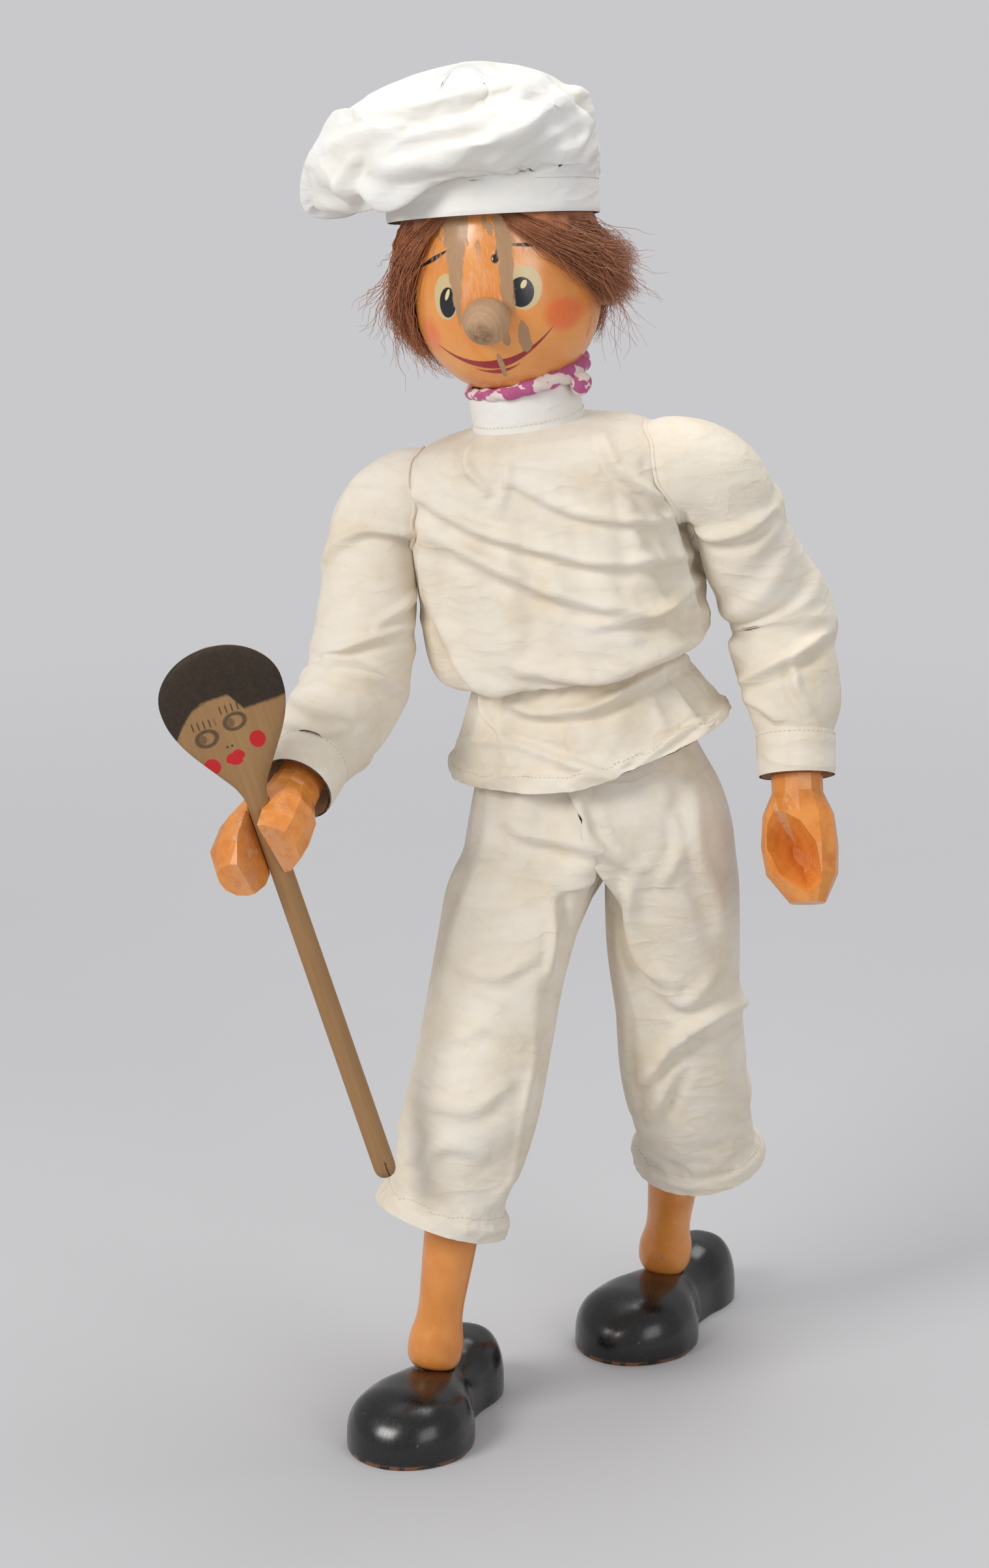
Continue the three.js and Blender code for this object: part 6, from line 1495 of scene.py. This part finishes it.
pink = printed_pink()
around = np.linspace(0, 2 * math.pi, 120)[:-1]
fullness = np.clip(0.5 + 0.5 * np.cos(around - 0.35), 0, 1) ** 1.5
roll_line = []
for a, f in zip(around, fullness):
    r, z = 36.5 + 4.5 * f, 308.5 + 8 * f + 0.6 * math.sin(5 * a)
    roll_line.append(trunk.out((r * math.cos(a), r * math.sin(a), z)))
roll = tube_round("neckerchief_roll", roll_line, 3.8 + 4.2 * fullness, pink, sides=22, lumps=0.12)
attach(roll, "torso")
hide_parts("neckerchief")
knot_at = (47 * math.cos(math.radians(18)), -47 * math.sin(math.radians(18)), 306)
knot_rows = []
for a in np.radians(np.linspace(-86, 86, 24)):
    ring = oval(0, 0, 0, 7.4 * math.cos(a), 8.6 * math.cos(a), 40)
    lump = 1 + 0.12 * np.sin(3 * np.arctan2(ring[:, 1], ring[:, 0]) + 2 * a)
    knot_rows.append(
        trunk.out(ring * lump[:, None] + (knot_at[0], knot_at[1], knot_at[2] + 8.6 * math.sin(a))))
knot = skinned("neckerchief_tie", knot_rows, pink, ends=(True, True))
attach(knot, "torso")
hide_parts("neckerchief_knot")

# Wig: reddish-brown mohair stitched to the head, parted at the forehead and standing off at the sides
# in loose strands, on a matted layer of the same hair.


def mohair():
    finish = Finish("hair", Sheen_Weight=0.2, Specular_IOR_Level=0.35)
    place = finish.spot()
    strand = finish.noise(place, 1.4, 3.0, 0.6, stretch=(1, 1, 0.14))
    cloud = finish.noise(place, 14.0, 3.0, 0.6, seed=2.0)
    colour = finish.mix(strand * 0.6 + cloud * 0.4, (0.62, 0.235, 0.095), (0.24, 0.07, 0.028))
    finish.set(Base_Color=colour, Roughness=strand * 0.2 + 0.45)
    return finish.bump(strand, 0.8)


def scalp_thickness(height):
    return float(np.interp(height, [-32, -18, 4, 30, 58, 72, 86, 96], [3, 6, 8, 9, 12, 11, 8, 4]))


def face_line(azimuth):
    """Lowest height at which there is hair, at an angle from the face in degrees; the left ear shows."""
    if azimuth > 0:
        return float(np.interp(azimuth, [0, 25, 48, 62, 80, 102, 120, 180],
                               [79, 74, 56, 42, 28, 22, -12, -28]))
    return float(np.interp(-azimuth, [0, 25, 48, 62, 80, 110, 180], [79, 74, 54, 34, 4, -24, -28]))


def on_scalp(azimuth, z, off):
    a, reach = math.radians(azimuth), head_radius(z) + off
    return (reach * math.sin(a), -reach * math.cos(a), z)


hair = mohair()
layer = []
for r in range(44):
    ring = []
    for c in range(150):
        azimuth = 360 * c / 150 - 180
        low = face_line(azimuth + 4)
        z = low + (95 - low) * r / 43
        a = math.radians(azimuth)
        lump = 1.2 * math.sin(9 * a + z / 9) + 0.8 * math.sin(23 * a - z / 6)
        thick = (scalp_thickness(z) + lump - 3) * (0.15 + 0.85 * min(1.0, r / 3))
        ring.append(on_scalp(azimuth, z, 0.4 + thick))
    layer.append(head.out(ring))
wig = skinned("wig_layer", layer, hair, ends=(False, True))
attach(wig, "head")
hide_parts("wig")
rng = np.random.default_rng(11)


def lock(root, tip, flare, bend, close=0.0):
    """A lock of hair from a root to a tip, each an azimuth and a height, that stands off at its tip."""
    line = []
    for t in np.linspace(0, 1, 9):
        azimuth = root[0] + (tip[0] - root[0]) * t ** 1.15 + bend * math.sin(math.pi * t)
        z = root[1] + (tip[1] - root[1]) * t
        off = scalp_thickness(z) * min(1.0, 0.25 + 2.2 * t) + flare * t ** 3.2 - 1.5 - close * (1 - t)
        line.append(on_scalp(azimuth, z, off))
    return head.out(line)


def strands(name, locks, many, room):
    """Fills each lock with so many hairs, which part towards their tips in the room given, in metres."""
    grown = Repeat(name, Hairs=many, Room=room, Curl=0.006, Thickness=0.00026, Seed=3, Material=hair.made)
    curve = grown.node("GeometryNodeMeshToCurve", {}, {"Mesh": grown.given["Line"]})
    even = grown.node("GeometryNodeResampleCurve", {}, {"Curve": curve, "Count": 11})
    copies = grown.node("GeometryNodeDuplicateElements", {"domain": "SPLINE"},
                        {"Geometry": even, "Amount": grown.given["Hairs"]})
    along = grown.node("GeometryNodeSplineParameter")
    drawn = grown.node("FunctionNodeRandomValue", {"data_type": "FLOAT_VECTOR"}, {
        "Min": (-1, -1, -1), "Max": (1, 1, 1), "Seed": grown.given["Seed"]})
    own = grown.node("GeometryNodeFieldOnDomain", {"data_type": "FLOAT_VECTOR", "domain": "CURVE"},
                     {0: drawn})
    part = grown.node("ShaderNodeMath", {"operation": "MULTIPLY_ADD"}, {0: along, 1: 1.1, 2: 0.35})
    reach = grown.node("ShaderNodeMath", {"operation": "MULTIPLY"}, {0: part, 1: grown.given["Room"]})
    aside = grown.node("ShaderNodeVectorMath", {"operation": "SCALE"}, {0: own, "Scale": reach})
    place = grown.node("GeometryNodeInputPosition")
    near = grown.node("ShaderNodeVectorMath", {"operation": "MULTIPLY_ADD"},
                      {0: place, 1: (62.0,) * 3, 2: own})
    wave = grown.node("ShaderNodeTexNoise", {}, {"Vector": near, "Scale": 1.0, "Detail": 1.5}, out=1)
    middle = grown.node("ShaderNodeVectorMath", {"operation": "SUBTRACT"}, {0: wave, 1: (0.5,) * 3})
    curl = grown.node("ShaderNodeMath", {"operation": "MULTIPLY"}, {0: along, 1: grown.given["Curl"]})
    curl = grown.node("ShaderNodeMath", {"operation": "MULTIPLY"}, {0: curl, 1: 4.0})
    swung = grown.node("ShaderNodeVectorMath", {"operation": "SCALE"}, {0: middle, "Scale": curl})
    offset = grown.node("ShaderNodeVectorMath", {"operation": "ADD"}, {0: aside, 1: swung})
    laid = grown.node("GeometryNodeSetPosition", {}, {"Geometry": copies, "Offset": offset})
    ring = grown.node("GeometryNodeCurvePrimitiveCircle", {},
                      {"Resolution": 3, "Radius": grown.given["Thickness"]})
    thin = grown.node("ShaderNodeMapRange", {},
                      {"Value": along, "From Min": 0.5, "From Max": 1.0, "To Min": 1.0, "To Max": 0.3})
    tubes = grown.node("GeometryNodeCurveToMesh", {}, {"Curve": laid, "Profile Curve": ring, "Scale": thin})
    made = grown.work(tubes, locks, name)
    made.data.shade_smooth()
    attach(made, "head")


def between(low, high): return rng.uniform(low, high)


right_locks = [lock((-between(26, 80), between(68, 82)), (-between(72, 116), between(-30, 8)),
                    between(0, 12), -between(0, 10))
               for _ in range(70)]
left_locks = [lock((a, np.interp(a, [6, 30, 60], [80, 72, 54]) + between(-6, 3)),
                   (between(82, 114), between(-12, 24)), between(0, 20), between(0, 10), 7.0)
              for a in np.linspace(6, 62, 72)]
back_locks = [lock((a + between(-6, 6), between(55, 80)), (a + between(-14, 14), between(-46, -24)),
                   between(-1, 6), 0.0)
              for a in np.linspace(118, 272, 72)]
stray_locks = [lock((side * between(40, 85), between(40, 60)), (side * between(70, 125), between(-50, 20)),
                    between(6, 34), 0.0)
               for side in (-1, 1) for _ in range(45)]
LOCK_HAIRS, LOCK_ROOM, STRAY_HAIRS, STRAY_ROOM = 30, 0.0042, 2, 0.012
strands("hair_right", right_locks, LOCK_HAIRS, LOCK_ROOM)
strands("hair_left", left_locks, LOCK_HAIRS, LOCK_ROOM)
strands("hair_back", back_locks, LOCK_HAIRS - 2, LOCK_ROOM)
strands("hair_stray", stray_locks, STRAY_HAIRS, STRAY_ROOM)

# Hat: a white cotton band tilted back on the wig, and a soft crown gathered into it that falls over to
# the doll's right in broad folds.

HAT_RADIUS, BAND_HEIGHT, CROWN_COLUMNS = 73, 26, 140
tilt, lean = math.radians(12), math.radians(4)
hat_up = head.up * math.cos(tilt) + head.back * math.sin(tilt) + head.across * math.sin(lean)
hat = Stand(head.out((-2, 7, 57)), hat_up, across=head.across)
hat_white = cotton("hat_cotton", (0.88, 0.875, 0.86), (0.82, 0.79, 0.72), 0.2)
rows = [(0, 73.3), (1, 73.8), (12, 73.6), (25, 73.2), (27, 72.6)]
rings = flowing([hat.out(oval(0, 0, z, r, r, 110)) for z, r in rows], 16)
band = skinned("hat_band_cloth", rings, hat_white)
walled(finer(band), FOLDED_BAND)
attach(band, "head")
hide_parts("hat_band")

crown_rows = [(94, -14, 12, 88, 86, 0.34), (108, -24, 12, 98, 92, 0.36), (124, -27, 10, 94, 90, 0.26),
              (140, -26, 8, 80, 80, 0.14), (152, -22, 6, 58, 58, 0.08), (159, -14, 4, 29, 28, 0.04),
              (160, -13, 4, 5, 5, 0)]
crown_folds = [([(590, 262), (663, 246), (726, 222), (786, 200), (840, 172), (892, 146)], 22, 12),
               ([(620, 306), (690, 288), (765, 262), (827, 222), (876, 192), (915, 170)], 12, 7),
               ([(823, 134), (726, 146), (640, 166), (563, 180)], 17, 8),
               ([(672, 258), (744, 252), (792, 220), (820, 196)], 12, 7),
               ([(500, 270), (546, 290), (610, 312), (690, 306)], 18, 11),
               ([(560, 235), (545, 285), (566, 330)], 11, -9),
               ([(876, 140), (893, 160), (905, 186)], 9, 6), ([(885, 232), (900, 206), (915, 182)], 9, 6),
               ([(640, 214), (710, 194), (790, 168)], 12, 5),
               ([(600, 240), (660, 215), (740, 205)], 9, -4),
               ([(520, 225), (560, 205), (600, 200)], 12, 5)]
crown_creases = [(0.05, 0.2, 0.2, 0.5, 10, 7), (0.9, 0.2, 0.95, 0.5, 10, 7),
                 (0.1, 0.5, 0.95, 0.65, 12, 6), (0.25, 0.1, 0.3, 0.4, 8, 6), (0.75, 0.1, 0.72, 0.4, 8, 6)]
over = Stand(head.out((-7, 0, 0)), head.up + head.across * math.sin(lean), across=head.across)
keys = [hat.out(oval(0, 0, z, HAT_RADIUS + 0.9, HAT_RADIUS + 0.9, CROWN_COLUMNS))
        for z in (BAND_HEIGHT - 3, BAND_HEIGHT)]
for z, x, y, wide, deep, slope in crown_rows:
    ring = oval(x, y, z, wide, deep, CROWN_COLUMNS)
    aside = ring[:, 0] - x
    ring[:, 2] += slope * aside * (0.65 - 0.35 * np.tanh(aside / 30))
    keys.append(over.out(ring))
count = 70
rings = flowing(keys, count)
calm = rings.copy()
rings = creased(rings, crown_creases)
rings[:3] = calm[:3]
crown = skinned("hat_crown_cloth", rings, hat_white, ends=(False, True))
hold = np.full((count, CROWN_COLUMNS), 0.03)
hold[:2] = 1.0
settled(crown, 0.05, np.append(hold.ravel(), 0.03), frames=20, fall=0.0, cap=9)
walled(folded(finer(crown), crown_folds), COTTON)
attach(crown, "head")
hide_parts("hat_crown")

low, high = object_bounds()
